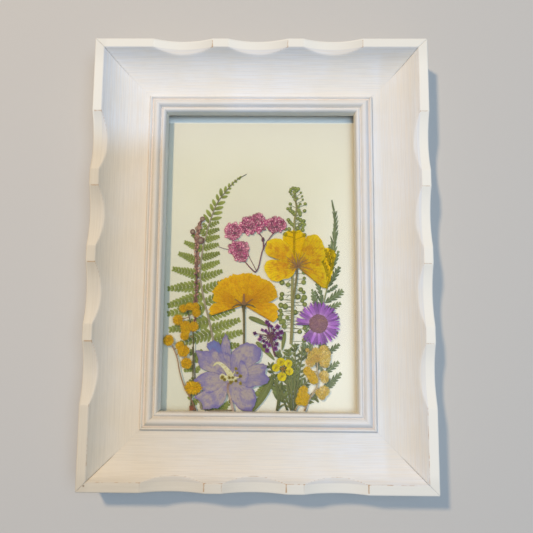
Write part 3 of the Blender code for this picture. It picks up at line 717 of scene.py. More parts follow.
def makeCard():
    look = panelLook
    finish = Finish("creamCard", 0.9)
    spot = finish.spot()
    x, y = finish.sides(spot)
    fibres = finish.noise(finish.stretch(spot, (1, 5, 1)), 700, 4.0, 0.7)
    weave = finish.noise(finish.stretch(spot, (5, 1, 1)), 700, 4.0, 0.7)
    cloud = finish.noise(spot, 14, 2.0)
    color = finish.blend(cloud.rise(0.35, 0.7), look["card"], look["cardPale"])
    color = finish.blend((fibres * weave).rise(0.3, 0.5) * 0.25, color, look["cardDeep"])
    # painted glare of the glass, lighter towards the lower right
    color = finish.blend((x * 0.8 - y * 0.35).fade(look["glareFrom"]), color, look["cardGlare"])
    # painted cool light, bluer towards the top
    color = finish.blend(y.fade(look["coolLightAbove"]) * 0.5, color, look["cardCoolLight"])
    # painted light in the top lip's shadow band
    color = finish.blend(y.fade(look["bandLightAbove"]), color, look["cardBandLight"])
    for markX, markY, radius in look["marks"]:
        away = finish.away(spot, (markX, markY, look["markHeight"]))
        color = finish.blend((1 - away.fade((0, radius))) * 0.3, color, look["cardDeep"])
    finish.setColor(color)
    finish.setBump(fibres + weave, 0.03)
    return finish


def makeBoard():
    finish = Finish("brownFibreboard", 0.85)
    spot = finish.spot()
    fibres = finish.noise(spot, 900, 6.0, 0.75)
    cloud = finish.noise(spot, 30, 3.0)
    color = finish.blend(fibres.rise(0.35, 0.65), panelLook["board"], panelLook["boardDark"])
    color = finish.brighten(color, 0.85 + cloud * 0.3)
    finish.setColor(color)
    finish.setBump(fibres, 0.12)
    return finish


def makeSteel():
    finish = Finish("tabSteel", 0.35)
    finish.shader.inputs["Metallic"].default_value = 1.0
    brushed = finish.noise(finish.stretch(finish.spot(), (1, 8, 1)), 900, 3.0)
    finish.setColor(finish.blend(brushed, panelLook["steel"], panelLook["steelDark"]))
    finish.setRough(0.28 + brushed * 0.25)
    finish.setBump(brushed, 0.02)
    return finish


def dressPanels():
    steel = makeSteel()
    finishes = {"glass": makeGlass(), "flower_card": makeCard(), "backing_board": makeBoard()}
    for name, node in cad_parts.items():
        finish = steel if name.startswith("tab_") else finishes.get(name)
        if finish:
            node.data.materials.clear()
            node.data.materials.append(finish.material)
    print("glass, card, board and tabs dressed")


# what a plant's finish has where its own look says nothing
plantLook = {
    "rough": 0.75, "middle": 0.45, "stray": 0.3, "tintShift": 0.5, "bump": 0.12, "grain": 0.35,
    "grainScale": 2600, "blotchScale": 380, "blotchFrom": (0.5, 0.68), "blotchAmount": 0.6, "veinFine": 4,
}


def makePlant(name, look):
    # foot, body and tip colours run along a petal or leaf; veins run from its foot
    look = plantLook | look
    finish = Finish(name, look["rough"])
    spot = finish.spot()
    along, across, tint = (finish.attribute(key) for key in ("along", "across", "tint"))
    broad = finish.noise(spot, look["blotchScale"], 3.0, 0.6)
    fine = finish.noise(spot, look["grainScale"], 3.0, 0.7)
    stops = [(0.0, look["foot"]), (look["middle"], look["body"]), (1.0, look["tip"])]
    color = finish.ramp(along + (broad - 0.5) * look["stray"], stops)
    if "blotch" in look:
        color = finish.blend(broad.rise(*look["blotchFrom"]) * look["blotchAmount"], color, look["blotch"])
    if "patch" in look:
        mottle = finish.noise(spot, look["patchScale"], 4.0, 0.7)
        color = finish.blend(mottle.rise(0.46, 0.62) * look["patchAmount"], color, look["patch"])
    height = fine
    if "veins" in look:
        lines = 1 - abs((across * look["veins"] * math.pi + (broad - 0.5) * 5).sine())
        lines = lines ** look["veinFine"] * look["veinAmount"]
        color = finish.blend(lines * (0.35 + 0.65 * (1 - along)), color, look["vein"])
        height = fine * 0.5 + (1 - lines)
    if "midrib" in look:
        color = finish.blend(across.near(0, 0.22) * 0.7, color, look["midrib"])
    if "edge" in look:
        border = (along * abs(along)).rise(0.72, 0.99)
        color = finish.blend(border * look["edgeAmount"], color, look["edge"])
    shift = look["tintShift"]
    color = finish.brighten(color, 1 - shift / 2 + tint * shift + (fine - 0.5) * look["grain"])
    finish.setColor(color)
    finish.setBump(height, look["bump"], 0.8)
    if "sheer" in look:
        clear = finish.node("BsdfTransparent", {}, {"Color": look["sheerColor"]}, "BSDF")
        solid = Wire(finish, finish.shader.outputs["BSDF"])
        amount = look["sheer"] * (0.6 + 0.8 * broad)
        if "letsLightBy" in look:
            shade = finish.node("LightPath", {}, {}, "Is Shadow Ray")
            amount = amount + shade * (1 - amount) * look["letsLightBy"]
        finish.setSurface(finish.node("MixShader", {}, {0: amount, 1: solid, 2: clear}))
    return finish


def makeStalk(name, color, dark):
    look = {"foot": dark, "body": color, "tip": color, "blotch": dark, "blotchAmount": 0.5}
    return makePlant(name, look | {"blotchScale": 900, "tintShift": 0.3, "bump": 0.1, "rough": 0.7})


# the tall fern at the left, and its loose pieces lower down
fernLook = {
    "rachis": [
        (-6.9, 42.3), (-11.0, 39.8), (-13.7, 37.4), (-16.0, 34.8), (-17.9, 32.4), (-20.2, 29.2),
        (-22.1, 25.6), (-23.6, 21.2), (-25.1, 16.4), (-26.2, 11.7), (-27.3, 7.0), (-28.1, 1.9),
        (-28.6, -3.9), (-28.6, -9.4), (-27.4, -16.2), (-26.0, -22.2), (-24.4, -27.9), (-23.1, -33.3),
        (-21.9, -38.5), (-21.4, -42),
    ],
    # each leaflet's tip, and the height at which it leaves the rachis
    "left": [
        (-9.4, 41.3, 40.2), (-10.8, 40.6, 39.4), (-12.2, 39.6, 38.3), (-13.5, 38.6, 37.2),
        (-15.3, 37.8, 35.4), (-17.0, 36.3, 33.2), (-19.6, 35.2, 31.0), (-21.5, 32.2, 28.9),
        (-23.4, 29.6, 26.2), (-24.5, 27.4, 23.6), (-26.4, 24.4, 20.6), (-27.6, 22.2, 17.6),
        (-28.0, 17.8, 14.9), (-31.2, 16.0, 11.5), (-33.2, 12.1, 8.4), (-36.8, 8.3, 4.6), (-39.5, 2.8, -1.8),
        (-42.2, -4.8, -7.6), (-44.4, -14.5, -12.7), (-44.0, -22.7, -18.1), (-44.1, -26.6, -22.6),
        (-43.0, -34.1, -30.0), (-38.9, -41.4, -35.3),
    ],
    "right": [
        (-9.8, 40.0, 39.7), (-11.4, 38.6, 38.4), (-12.9, 36.8, 37.0), (-14.2, 35.2, 34.8),
        (-14.8, 33.2, 32.8), (-16.0, 31.2, 30.4), (-17.1, 28.4, 26.8), (-18.0, 25.8, 24.4),
        (-18.4, 23.2, 22.2), (-18.7, 20.6, 19.2), (-20.0, 18.4, 16.4), (-19.8, 14.9, 12.9),
        (-19.6, 11.2, 9.2), (-19.9, 7.4, 5.0), (-19.4, 3.1, 0.4), (-19.4, -1.2, -4.3), (-17.9, -5.7, -9.7),
        (-17.4, -10.6, -15.6), (-16.2, -15.5, -21.4), (-11.5, -24.0, -27.9), (-9.1, -29.0, -34.1),
        (-7.9, -34.8, -38.9), (-9.2, -41.1, -43.8),
    ],
    "plainAbove": 17.0,
    "lobeSpacing": (1.3, 1.85),
    "lobeTurn": 0.95,
    "lobesPartOver": (4, 18),  # from this height, over this much further down
    # the loose pieces lower down: each leaflet's foot and tip
    "leaflets": [
        ((-31.2, -45), (-36, -44)), ((-31, -47), (-26.8, -43.6)), ((-30.8, -49), (-27.4, -46.6)),
        ((-30.5, -52), (-35.6, -53.5)), ((-30.2, -54), (-27.6, -51)), ((-30, -57), (-34, -59.5)),
        ((-29.7, -60), (-33.8, -63)), ((-29.5, -62), (-33.2, -66.6)), ((-28.5, -66), (-32, -70.5)),
        ((-27.5, -69), (-22.4, -71.2)), ((-27.8, -67), (-24.4, -69)), ((-24, -71.5), (-17.5, -70.4)),
        ((-18.5, -71.8), (-12.9, -67.2)), ((-16, -71.6), (-15, -68)),
    ],
    "leafletStems": [
        ([(-31.5, -42), (-30.5, -52), (-29.5, -62), (-26.5, -71)], 0.8, 1.0),
        ([(-27, -70.6), (-22, -71.6), (-12, -71.4)], 0.7, 0.6),
    ],
    "sprig": [
        ((5.8, -58.4), (-1.6, -64.3)), ((4, -60.5), (1.6, -57)), ((1.6, -64.8), (-2.2, -63.4)),
        ((0, -67.5), (-3.4, -67)), ((3.9, -60.4), (5.6, -57)), ((2.2, -63.6), (5, -61.6)),
    ],
    "sprigStems": [([(-4, -71.3), (1, -66), (4.5, -60), (5.5, -56)], 0.7, 0.5)],
    "stalk": (rgb(164, 152, 128), rgb(96, 90, 62)),
    "leaf": {
        "foot": rgb(112, 120, 56), "body": rgb(138, 146, 72), "tip": rgb(152, 160, 88),
        "midrib": rgb(116, 124, 60), "blotch": rgb(106, 116, 58), "blotchAmount": 0.5, "blotchScale": 240,
        "tintShift": 0.45, "grain": 0.45,
    },
}


def addPinna(shape, foot, tip, low, height, dice):
    # a leaflet cut into pairs of oblong lobes, shorter towards its tip; they part further down the frond
    foot, tip = Vector(foot), Vector(tip)
    reach = (tip - foot).length
    ahead = (tip - foot) / reach
    close, wide = fernLook["lobeSpacing"]
    spacing = close + (wide - close) * low
    pairs = max(3, round(reach / spacing))
    tint = dice.uniform(0.3, 0.75)
    for pair in range(pairs):
        t = (pair + 0.3) / pairs
        length = (1.0 + 0.17 * reach) * (1 - 0.62 * t**1.5)
        for side in (-1, 1):
            out = Matrix.Rotation(side * fernLook["lobeTurn"] * (1 - 0.25 * t), 2) @ ahead
            start = foot + ahead * t * reach
            end = start + out * length * dice.uniform(0.9, 1.1)
            width = spacing * 0.84 * (1 - 0.15 * t)
            look = tint + dice.uniform(-0.15, 0.15)
            lift = height + 0.03 * (pair % 2)
            addBlade(shape, start, end, width, lift, 0.08 * side, look, columns=6, blunt=0.32)
    addBlade(shape, foot.lerp(tip, 0.8), tip, 0.7, height, 0, tint, columns=5)
    addBlade(shape, foot, foot.lerp(tip, 0.93), 0.45 if low > 0.4 else 0.6, height + 0.03, 0, tint * 0.7)


def addFernPiece(name, node, leaflets, stems, low, finishes, dice):
    shape = newShape()
    height = layerOf(node)
    for foot, tip in leaflets:
        addPinna(shape, foot, tip, low, height, dice)
    thicken(shape, 0.1)
    for points, startWidth, endWidth in stems:
        addStem(shape, points, startWidth, endWidth, height + 0.08, 0.3)
    finishPiece(name, shape, finishes, [node])


def buildFern():
    look = fernLook
    finishes = [makePlant("fernGreen", look["leaf"]), makeStalk("fernStalk", *look["stalk"])]
    shape = newShape()
    height = layerOf("fern_frond")
    dice = random.Random(5)
    line = smoothLine(look["rachis"], 8)
    start, parting = look["lobesPartOver"]
    for x, y, footHeight in (*look["left"], *look["right"]):
        foot = atHeight(line, footHeight)
        reach = math.hypot(x - foot.x, y - foot.y)
        if footHeight > look["plainAbove"]:
            leafLook = {"lobes": max(1, round(reach)), "cut": 0.86, "sharp": 0.6, "lean": 0.3}
            width = min(1.9, 0.62 + 0.28 * reach)
            addLobed(shape, foot, (x, y), width, height, leafLook, dice.uniform(0.3, 0.9))
        else:
            addPinna(shape, foot, (x, y), clamped((start - y) / parting), height, dice)
    thicken(shape, 0.1)
    addStem(shape, look["rachis"], 0.3, 1.15, height + 0.1)
    finishPiece("fernFrond", shape, finishes, ["fern_frond"])
    leaflets, sprig = look["leaflets"], look["sprig"]
    addFernPiece("fernLeaflets", "fern_leaflets", leaflets, look["leafletStems"], 0.35, finishes, dice)
    addFernPiece("fernSprig", "fern_sprig", sprig, look["sprigStems"], 0.2, finishes, dice)


# the reddish brown seed spike in front of the fern
spikeLook = {
    "stem": [
        (-28.3, 19.0), (-29.1, 17.2), (-29.8, 14.8), (-30.4, 11.7), (-30.6, 8.5), (-30.5, 3.1), (-30.3, -0.8),
        (-30.4, -6.6), (-30.3, -15.1), (-30.6, -21.0), (-30.5, -28.8), (-31.2, -32.5),
    ],
    "budRows": 74,
    # x, y, radius, and how hollow it looks
    "knobs": [
        (-28.1, 19.6, 1.15, 0.5), (-32.7, 13.3, 1.25, 0.9), (-28.8, 9.1, 1.75, 0.9), (-29.2, 15.4, 0.95, 0.2),
        (-30.8, 15.0, 0.8, 0.3), (-30.9, 10.4, 0.9, 0.4),
    ],
    "knobFoot": (-30.3, 2.5),  # the stem's x there, and how far below the knob its stalk starts
    "rimBuds": 11,  # round each knob
    "thinBelow": -21,
    "bud": {
        "foot": rgb(164, 124, 108), "body": rgb(180, 138, 120), "tip": rgb(136, 98, 88),
        "blotch": rgb(100, 68, 64), "blotchScale": 700, "blotchAmount": 0.85, "tintShift": 1.1, "grain": 0.7,
    },
    "knob": {
        "foot": rgb(168, 154, 126), "middle": 0.25, "body": rgb(120, 94, 92), "tip": rgb(88, 64, 66),
        "blotch": rgb(156, 132, 112), "blotchScale": 1400, "tintShift": 0.5, "grain": 0.6,
    },
}


def buildSeedSpike():
    look = spikeLook
    finishes = [makePlant("spikeBuds", look["bud"]), makePlant("spikeKnobs", look["knob"])]
    shape = newShape()
    height = layerOf("seed_spike") + 0.12
    dice = random.Random(11)
    line = smoothLine(look["stem"], 8)
    addStem(shape, look["stem"], 0.7, 1.0, height, 0.1, slot=0)
    for row in range(look["budRows"]):
        t = 0.08 + 0.9 * row / look["budRows"]
        spot = between(line, t)
        spread = 0.3 + 0.5 * min(t * 3, 1) * (1 if spot.y > look["thinBelow"] else 0.4)
        for side in (-1, 0.1, 1):
            if dice.random() < 0.18:
                continue
            x = spot.x + side * spread + dice.uniform(-0.22, 0.22)
            y = spot.y + dice.uniform(-0.4, 0.4)
            radius, tint = dice.uniform(0.24, 0.52), dice.random()
            addBall(shape, (x, y), radius, height, flat=0.6, level=1, lumps=0.4, tint=tint, oval=1.3)
    footX, drop = look["knobFoot"]
    for x, y, radius, hollow in look["knobs"]:
        addBall(shape, (x, y), radius, height, flat=0.22, level=3, lumps=0.25, tint=0.4, slot=1)
        for index in range(look["rimBuds"]):
            spot = Vector((x, y)) + heading(math.tau * index / look["rimBuds"]) * radius * 0.82
            tint = 0.6 - 0.6 * hollow
            addBall(shape, spot, radius * 0.27, height + 0.15, flat=0.6, level=1, lumps=0.3, tint=tint)
        addStem(shape, [(x, y), (footX, y - drop)], 0.6, 0.6, height, 0.2, slot=0)
    finishPiece("seedSpike", shape, finishes, ["seed_spike"])


# the pink flower clusters on their forked stem
pinkLook = {
    # x, y, and how far it reaches sideways and upwards
    "clusters": [
        (-12.9, 13.7, 4.5, 4.3), (-5.5, 16.5, 4.4, 4.8), (-1.2, 17.8, 4.6, 5.0), (7.4, 16.8, 5.2, 4.1),
        (-10.4, 5.3, 5.4, 3.8), (-9.2, 1.9, 3.6, 3.3),
    ],
    "floretSpacing": 1.02,
    "stems": [
        [(-2.3, -6.3), (-0.6, -4), (1.9, 6), (7.5, 14)], [(1.7, 4.5), (1.3, 10.4), (-2.5, 14.5)],
        [(-2.3, -6.3), (-6, -2.5), (-10, 3)], [(-1.6, -5.5), (-3.4, -2), (-6.2, 3), (-9, 7), (-11.3, 11)],
    ],
    "stemWidths": (0.6, 0.6, 0.6, 0.3),
    "thinStem": [(-20.1, 6.1), (-17.4, 5.2), (-15.0, 4.7)],
    "stemBud": (1.5, 9.6),
    "threads": 8,
    "petal": {
        "foot": rgb(234, 206, 198), "middle": 0.4, "body": rgb(182, 82, 124), "tip": rgb(146, 42, 90),
        "blotch": rgb(228, 186, 182), "blotchAmount": 0.5, "blotchScale": 700, "tintShift": 1.1,
        "grain": 0.6, "stray": 0.5, "bump": 0.2,
    },
    "stalk": (rgb(130, 94, 102), rgb(94, 62, 74)),
}


def addFloret(shape, petals, radius, width, tint):
    # a small flower about the origin, face up
    verts = []
    for index in range(petals):
        out = heading(math.tau * index / petals + 0.3)
        verts += addBlade(shape, out * radius * 0.1, out * radius, width, 0, 0, tint, columns=4)
    for vert in verts:
        away = vert.co.xy.length / (radius * mm)
        vert.co.z += 0.12 * mm * away * away
    return verts


def buildPinkSprig():
    look = pinkLook
    finishes = [makePlant("pinkPetals", look["petal"]), makeStalk("pinkStems", *look["stalk"])]
    shape = newShape()
    height = layerOf("pink_sprig")
    dice = random.Random(21)
    source = addFloret(shape, 5, 0.86, 0.6, 0.5)
    step = look["floretSpacing"]
    for x, y, width, tall in look["clusters"]:
        rows, columns = math.ceil(tall / step), math.ceil(width / step)
        for row in range(-rows, rows + 1):
            for column in range(-columns, columns + 1):
                dx = (column + 0.5 * (row % 2)) * step + dice.uniform(-0.3, 0.3)
                dy = row * step * 0.9 + dice.uniform(-0.3, 0.3)
                away = math.hypot(dx / width, dy / tall)
                if away > 0.97 + dice.uniform(-0.08, 0.03):
                    continue
                lift = height + 0.1 + 0.18 * (1 - away) + dice.uniform(0, 0.12)
                tint = clamped(dice.gauss(0.5, 0.28))
                matrix = setDown(x + dx, y + dy, lift, dice.uniform(0, 6), dice.uniform(0.75, 1.15))
                copyVerts(shape, source, matrix, tint)
    bmesh.ops.delete(shape, geom=source)
    thicken(shape, 0.05)
    for stem, width in zip(look["stems"], look["stemWidths"]):
        addStem(shape, stem, width, width * 0.8, height + 0.05)
    addStem(shape, look["thinStem"], 0.22, 0.25, height + 0.05)
    for x, y, width, tall in look["clusters"]:
        foot = Vector((x + 0.1 * width, y - 0.3 * tall))
        for index in range(look["threads"]):
            angle = -0.5 + 0.55 * index + dice.uniform(-0.15, 0.15)
            end = (foot.x + 0.75 * width * math.cos(angle), foot.y + 0.85 * tall * math.sin(angle))
            addStem(shape, [foot, end], 0.3, 0.14, height + 0.4, dice.random(), sides=6)
    addBall(shape, look["stemBud"], 0.75, height + 0.1, lumps=0.1, tint=0.2, slot=1, oval=1.7)
    for x, y, width, tall in look["clusters"]:
        # a thin dark pad fills the gaps between the florets with painted shade
        addBall(shape, (x, y), width * 0.86, height + 0.02, flat=0.02, tint=0.15, slot=1, oval=tall / width)
    finishPiece("pinkSprig", shape, finishes, ["pink_sprig"])


# the sprig of round flat pods
pepperLook = {
    "stalk": [
        (16.9, 34), (17.1, 29.8), (17.6, 27.5), (17.8, 24.9), (17.0, 20.3), (16.7, 14.8), (16.6, 6),
        (15.9, -4), (15.8, -11), (15.7, -17), (15.8, -25), (15.6, -33), (15.2, -40.5),
    ],
    # x, y and radius
    "topPods": [
        (14.6, 33.5, 0.75), (15.0, 34.7, 0.8), (16.0, 35.4, 0.8), (17.1, 35.2, 0.9), (18.6, 34.9, 0.95),
        (15.2, 32.3, 0.6), (16.1, 31.0, 0.65), (16.6, 33.4, 0.9), (17.8, 34.0, 0.9), (17.0, 32.0, 0.7),
        (18.1, 30.3, 0.6), (17.0, 29.6, 0.8), (19.9, 33.1, 0.6), (20.5, 31.3, 0.55), (20.8, 29.7, 0.55),
        (19.6, 27.4, 0.7), (18.7, 26.3, 0.7), (22.0, 27.5, 0.85), (14.7, 27.4, 0.85), (13.5, 25.1, 0.8),
        (14.9, 25.6, 0.6), (21.7, 24.0, 0.9), (14.7, 24.1, 0.9), (15.8, 23.3, 1.0), (16.6, 22.3, 0.9),
        (18.8, 24.3, 1.0), (19.4, 23.0, 1.0), (19.6, 21.9, 0.8), (13.8, 19.5, 0.95), (14.5, 18.4, 0.95),
        (15.4, 17.4, 0.95), (16.5, 16.6, 0.9), (18.4, 20.2, 0.9), (19.7, 19.5, 1.0), (21.3, 19.0, 0.9),
        (20.6, 18.0, 0.9), (21.7, 17.2, 0.8), (19.4, 17.1, 0.9), (20.9, 16.2, 0.8), (18.3, 15.3, 1.05),
        (14.2, 15.0, 0.95), (12.3, 15.1, 0.95), (20.7, 14.6, 1.05), (21.6, 12.1, 1.05), (12.2, 12.4, 1.1),
    ],
    "lowPods": [
        (10.8, -11.2, 1.3), (13.7, -12.2, 1.15), (21.3, -6.3, 1.0), (21.5, -9.0, 0.8), (21.2, -11.0, 1.2),
        (19.8, -14.5, 1.15), (21.2, -15.8, 0.95), (18.5, -17.9, 1.35), (21.5, -18.3, 1.4),
        (20.5, -19.9, 1.0), (10.8, -16.8, 1.15), (10.5, -18.8, 1.15), (10.3, -22.1, 1.3),
        (12.4, -22.7, 1.45), (10.1, -24.7, 1.05), (21.7, -21.6, 1.15), (21.6, -24.4, 0.8),
        (17.1, -25.4, 1.3), (9.6, -28.1, 1.4), (11.5, -29.8, 1.3), (11.9, -32.1, 1.25), (21.5, -30.8, 1.25),
        (21.6, -32.9, 1.0), (19.3, -34.6, 1.15), (21.4, -38.6, 1.1), (10.6, -26.4, 1.0), (13.4, -28.0, 1.0),
        (10.4, -30.2, 1.1),
    ],
    "podDrop": (2.2, 0.6),  # how far under a pod its thread leaves the stalk, at the top and lower down
    "threadRows": (15, -10.5, 1.75),  # how many, the top one's height, and their spacing
    "stalkColors": (rgb(154, 150, 100), rgb(116, 112, 72)),
    "threadColors": (rgb(150, 150, 108), rgb(116, 116, 78)),
    "pod": {
        "foot": rgb(146, 152, 88), "body": rgb(118, 128, 64), "tip": rgb(76, 86, 42),
        "blotch": rgb(92, 106, 54), "blotchScale": 900, "tintShift": 0.45, "grain": 0.5, "middle": 0.55,
    },
}


def buildPepperweed():
    look = pepperLook
    finishes = [makePlant("pepperPods", look["pod"]), makeStalk("pepperStalk", *look["stalkColors"])]
    finishes.append(makeStalk("pepperThreads", *look["threadColors"]))
    shape = newShape()
    height = layerOf("pepperweed") + 0.12
    dice = random.Random(31)
    line = smoothLine(look["stalk"], 8)
    addStem(shape, look["stalk"], 0.7, 1.5, height)
    for pods, drop in zip((look["topPods"], look["lowPods"]), look["podDrop"]):
        for x, y, radius in pods:
            foot = atHeight(line, y - drop)
            middle = Vector((x, y)).lerp(foot, 0.5) + Vector((0, -0.25))
            addStem(shape, [foot, middle, (x, y - 0.4)], 0.28, 0.22, height, dice.random(), slot=2, sides=6)
            addBall(shape, (x, y), radius, height + 0.05, flat=0.16, lumps=0.05, tint=dice.random())
            addBall(shape, (x, y), radius * 0.55, height + 0.13, flat=0.3, lumps=0.05, tint=1.0)
    rows, top, pitch = look["threadRows"]
    for row in range(rows):
        y = top - pitch * row
        spot = atHeight(line, y)
        for side in (-1, 1):
            length = dice.uniform(2.2, 4.2)
            end = (spot.x + side * length, y - dice.uniform(-0.6, 1.1))
            bow = (spot.x + side * length * 0.5, y + dice.uniform(0.1, 0.5))
            addStem(shape, [spot, bow, end], 0.24, 0.2, height, dice.random(), slot=2, sides=6)
    finishPiece("pepperweed", shape, finishes, ["pepperweed"])


# the feathery leaf at the right
featherLook = {
    "stem": [
        (35.1, 28.8), (35.9, 24.7), (36.5, 21), (36.7, 17), (36.5, 13.4), (35.8, 8.1), (35.6, 5.5),
        (35.1, -1.1), (33.9, -5.9), (32.9, -12.2), (31.6, -17.3), (30.0, -24.2), (28, -30), (26, -38),
        (24, -47),
    ],
    # the stem's leaflets: how many pairs, the first pair's height, their spacing and their turn, then the
    # first one's length and what each next one adds, and the same for the width
    "leaflets": [
        (6, 28, 1.25, 0.22, (1.6, 0.25), (0.42, 0)),
        (9, 20.6, 2.3, 0.31, (3.5, 0.2), (0.7, 0.04)),
    ],
    # foot, tip and width
    "sideLeaves": [
        ((34.6, -5.8), (38.2, 4.4), 2.7), ((34.6, -4.0), (31.8, 5.0), 2.7), ((35.2, 0.0), (33.3, 7.4), 1.9),
        ((33.0, -13.4), (38.6, -3.4), 3.5), ((32.2, -16), (37.3, -12.2), 2.2),
        ((33.6, -9), (30.2, -0.6), 2.7), ((31.2, -21.0), (39.9, -14.8), 4.4),
        ((30.0, -24.8), (38.9, -20.8), 3.4), ((30.6, -19.5), (27.2, -10.0), 2.6),
        ((28.9, -26), (24.9, -17.1), 2.2), ((28.6, -22.6), (25.2, -14.2), 2.2),
        ((29.4, -20.3), (26.6, -14.8), 1.6), ((29.4, -24), (38.0, -27.8), 2.6),
        ((28, -30), (37.6, -35.4), 2.8), ((30.2, -46.5), (38.2, -40.4), 3.2),
        ((29.5, -55.5), (37.8, -48.7), 3.6), ((30, -61), (38.8, -53.8), 3.6),
        ((29.5, -63), (36.2, -58.2), 2.6), ((27.5, -45), (31.2, -38.6), 2.6), ((24, -44), (30, -53), 3.6),
        ((22.5, -47.5), (21.0, -39.5), 2.4), ((24.5, -46), (24.2, -38.8), 2.6),
        ((25, -40), (22.5, -33), 3.0), ((24.4, -44), (20.6, -40), 3.0), ((27.4, -33), (21.6, -31), 2.6),
        ((26, -38), (33, -43), 3.4), ((30, -24), (29.4, -17.4), 2.4),
    ],
    "leaf": {
        "foot": rgb(96, 108, 74), "body": rgb(107, 120, 84), "tip": rgb(130, 142, 100),
        "midrib": rgb(136, 150, 112), "blotch": rgb(84, 102, 80), "blotchScale": 260,
        "tintShift": 0.6, "grain": 0.5,
    },
    "stalk": (rgb(150, 156, 118), rgb(96, 106, 72)),
}


def buildFeatherLeaf():
    look = featherLook
    finishes = [makePlant("featherGreen", look["leaf"]), makeStalk("featherStalk", *look["stalk"])]
    shape = newShape()
    height = layerOf("feather_leaf")
    dice = random.Random(41)
    line = smoothLine(look["stem"], 12)
    for pairs, top, pitch, turn, (length, longer), (width, wider) in look["leaflets"]:
        for index in range(pairs):
            spot = atHeight(line, top - pitch * index)
            later = line[min(line.index(spot) + 4, len(line) - 1)]
            back = (spot - later).normalized()
            for side in (-1, 1):
                out = Matrix.Rotation(-side * (turn + dice.uniform(-0.04, 0.06)), 2) @ back
                tip = spot + out * (length + longer * index) * dice.uniform(0.88, 1.1)
                lift = height + 0.03 * side
                addBlade(shape, spot, tip, width + wider * index, lift, 0.1 * side, dice.random())
    for foot, tip, width in look["sideLeaves"]:
        leafLook = {"lobes": 5, "cut": 0.3, "sharp": 0.9, "lean": 1.35, "bend": dice.uniform(-0.3, 0.3)}
        addLobed(shape, foot, tip, width, height, leafLook, dice.uniform(0.2, 0.9))
    thicken(shape, 0.1)
    addStem(shape, look["stem"], 0.28, 0.9, height + 0.12, 0.6)
    finishPiece("featherLeaf", shape, finishes, ["feather_leaf"])


# the dark green foliage and the plain narrow leaves
foliageLook = {
    "fronds": [
        [(8.8, -71.3), (10, -66), (9.4, -62), (7.4, -57.5)],
        [(15.4, -71.1), (13, -66), (9.5, -60), (4.8, -49.8)],
        [(15.4, -71.1), (14, -62), (12, -53), (8.8, -44.4)],
        [(15.6, -71.1), (15.6, -62), (15, -52), (14, -43.4)],
        [(16.9, -71.2), (16.9, -62), (17.2, -52), (17.1, -40.8)],
        [(16.6, -66), (18.6, -58), (20.8, -42)],
        [(8.6, -71.3), (9.2, -66), (8.2, -61), (6.2, -55)],
        [(13.5, -71), (12, -67), (10.8, -63.5), (10.4, -60)],
        [(15.2, -71), (15.6, -64), (14.4, -59), (12.8, -56)],
        [(16.9, -66), (21, -59.4), (25.6, -56.8)],
        [(17.2, -69), (22, -66), (27.2, -65)],
    ],
    "crossStem": [(8.8, -70.8), (12, -68.6), (15.4, -70.6)],
    "leafSpacing": 1.75,
    "bareShare": 0.34,  # of each frond, from its foot
    "stalk": (rgb(122, 126, 76), rgb(84, 90, 52)),
    "leaf": {
        "foot": rgb(92, 100, 54), "body": rgb(108, 118, 64), "tip": rgb(128, 136, 86),
        "midrib": rgb(82, 90, 52), "blotch": rgb(128, 136, 92), "blotchScale": 300, "blotchAmount": 0.5,
        "tintShift": 0.7, "grain": 0.5,
    },
    # piece, node, foot, tip, width and bend
    "blades": [
        ("upperLanceLeaf", "lance_leaf_upper", (-4.9, -27.9), (4.5, -32), 2.3, 0.25),
        ("middleLanceLeaf", "lance_leaf_middle", (-1.3, -39.6), (7.4, -48.0), 2.4, 0.3),
        ("smallLanceLeaf", "lance_leaf_small", (12.2, -34.6), (10.9, -43.5), 1.8, 0.1),
        ("lowerLanceLeaf", "lance_leaf_lower", (6.4, -56.6), (-2.6, -71.6), 3.5, 0.3),
    ],
    "blade": {
        "foot": rgb(114, 120, 66), "body": rgb(130, 136, 76), "tip": rgb(118, 124, 70),
        "midrib": rgb(146, 154, 98), "blotch": rgb(106, 116, 68), "blotchScale": 260, "blotchAmount": 0.5,
        "tintShift": 0.3, "grain": 0.4,
    },
}


def buildFoliage():
    look = foliageLook
    finishes = [makePlant("darkLeafGreen", look["leaf"]), makeStalk("foliageStalk", *look["stalk"])]
    shape = newShape()
    height = layerOf("green_foliage")
    dice = random.Random(51)
    for frond in look["fronds"]:
        line = smoothLine(frond, 10)
        reach = sum((later - spot).length for spot, later in zip(line, line[1:]))
        steps = round(reach / look["leafSpacing"])
        for step in range(round(steps * look["bareShare"]), steps):
            t = step / steps
            spot, later = between(line, t), between(line, min(t + 0.03, 1))
            ahead = (later - spot).normalized()
            for side in (-1, 1):
                out = Matrix.Rotation(-side * dice.uniform(0.5, 1.0), 2) @ ahead
                tip = spot + out * dice.uniform(2.8, 5.0) * (1.1 - 0.4 * t)
                lift, width = height + dice.uniform(0, 0.15), dice.uniform(0.9, 1.4)
                addBlade(shape, spot, tip, width, lift, dice.uniform(-0.4, 0.4), dice.random(), columns=6)
        end = line[-1] + (line[-1] - line[-3]) * 0.6
        addBlade(shape, line[-4], end, 1.1, height, 0, dice.random())
    thicken(shape, 0.1)
    for stem in (*look["fronds"], look["crossStem"]):
        addStem(shape, stem, 1.1, 0.4, height + 0.1, dice.random())
    finishPiece("greenFoliage", shape, finishes, ["green_foliage"])

    blade = makePlant("lanceGreen", look["blade"])
    for name, node, foot, tip, width, bend in look["blades"]:
        shape = newShape()
        addBlade(shape, foot, tip, width, layerOf(node), bend, dice.random(), columns=16)
        thicken(shape, 0.12)
        finishPiece(name, shape, [blade], [node])


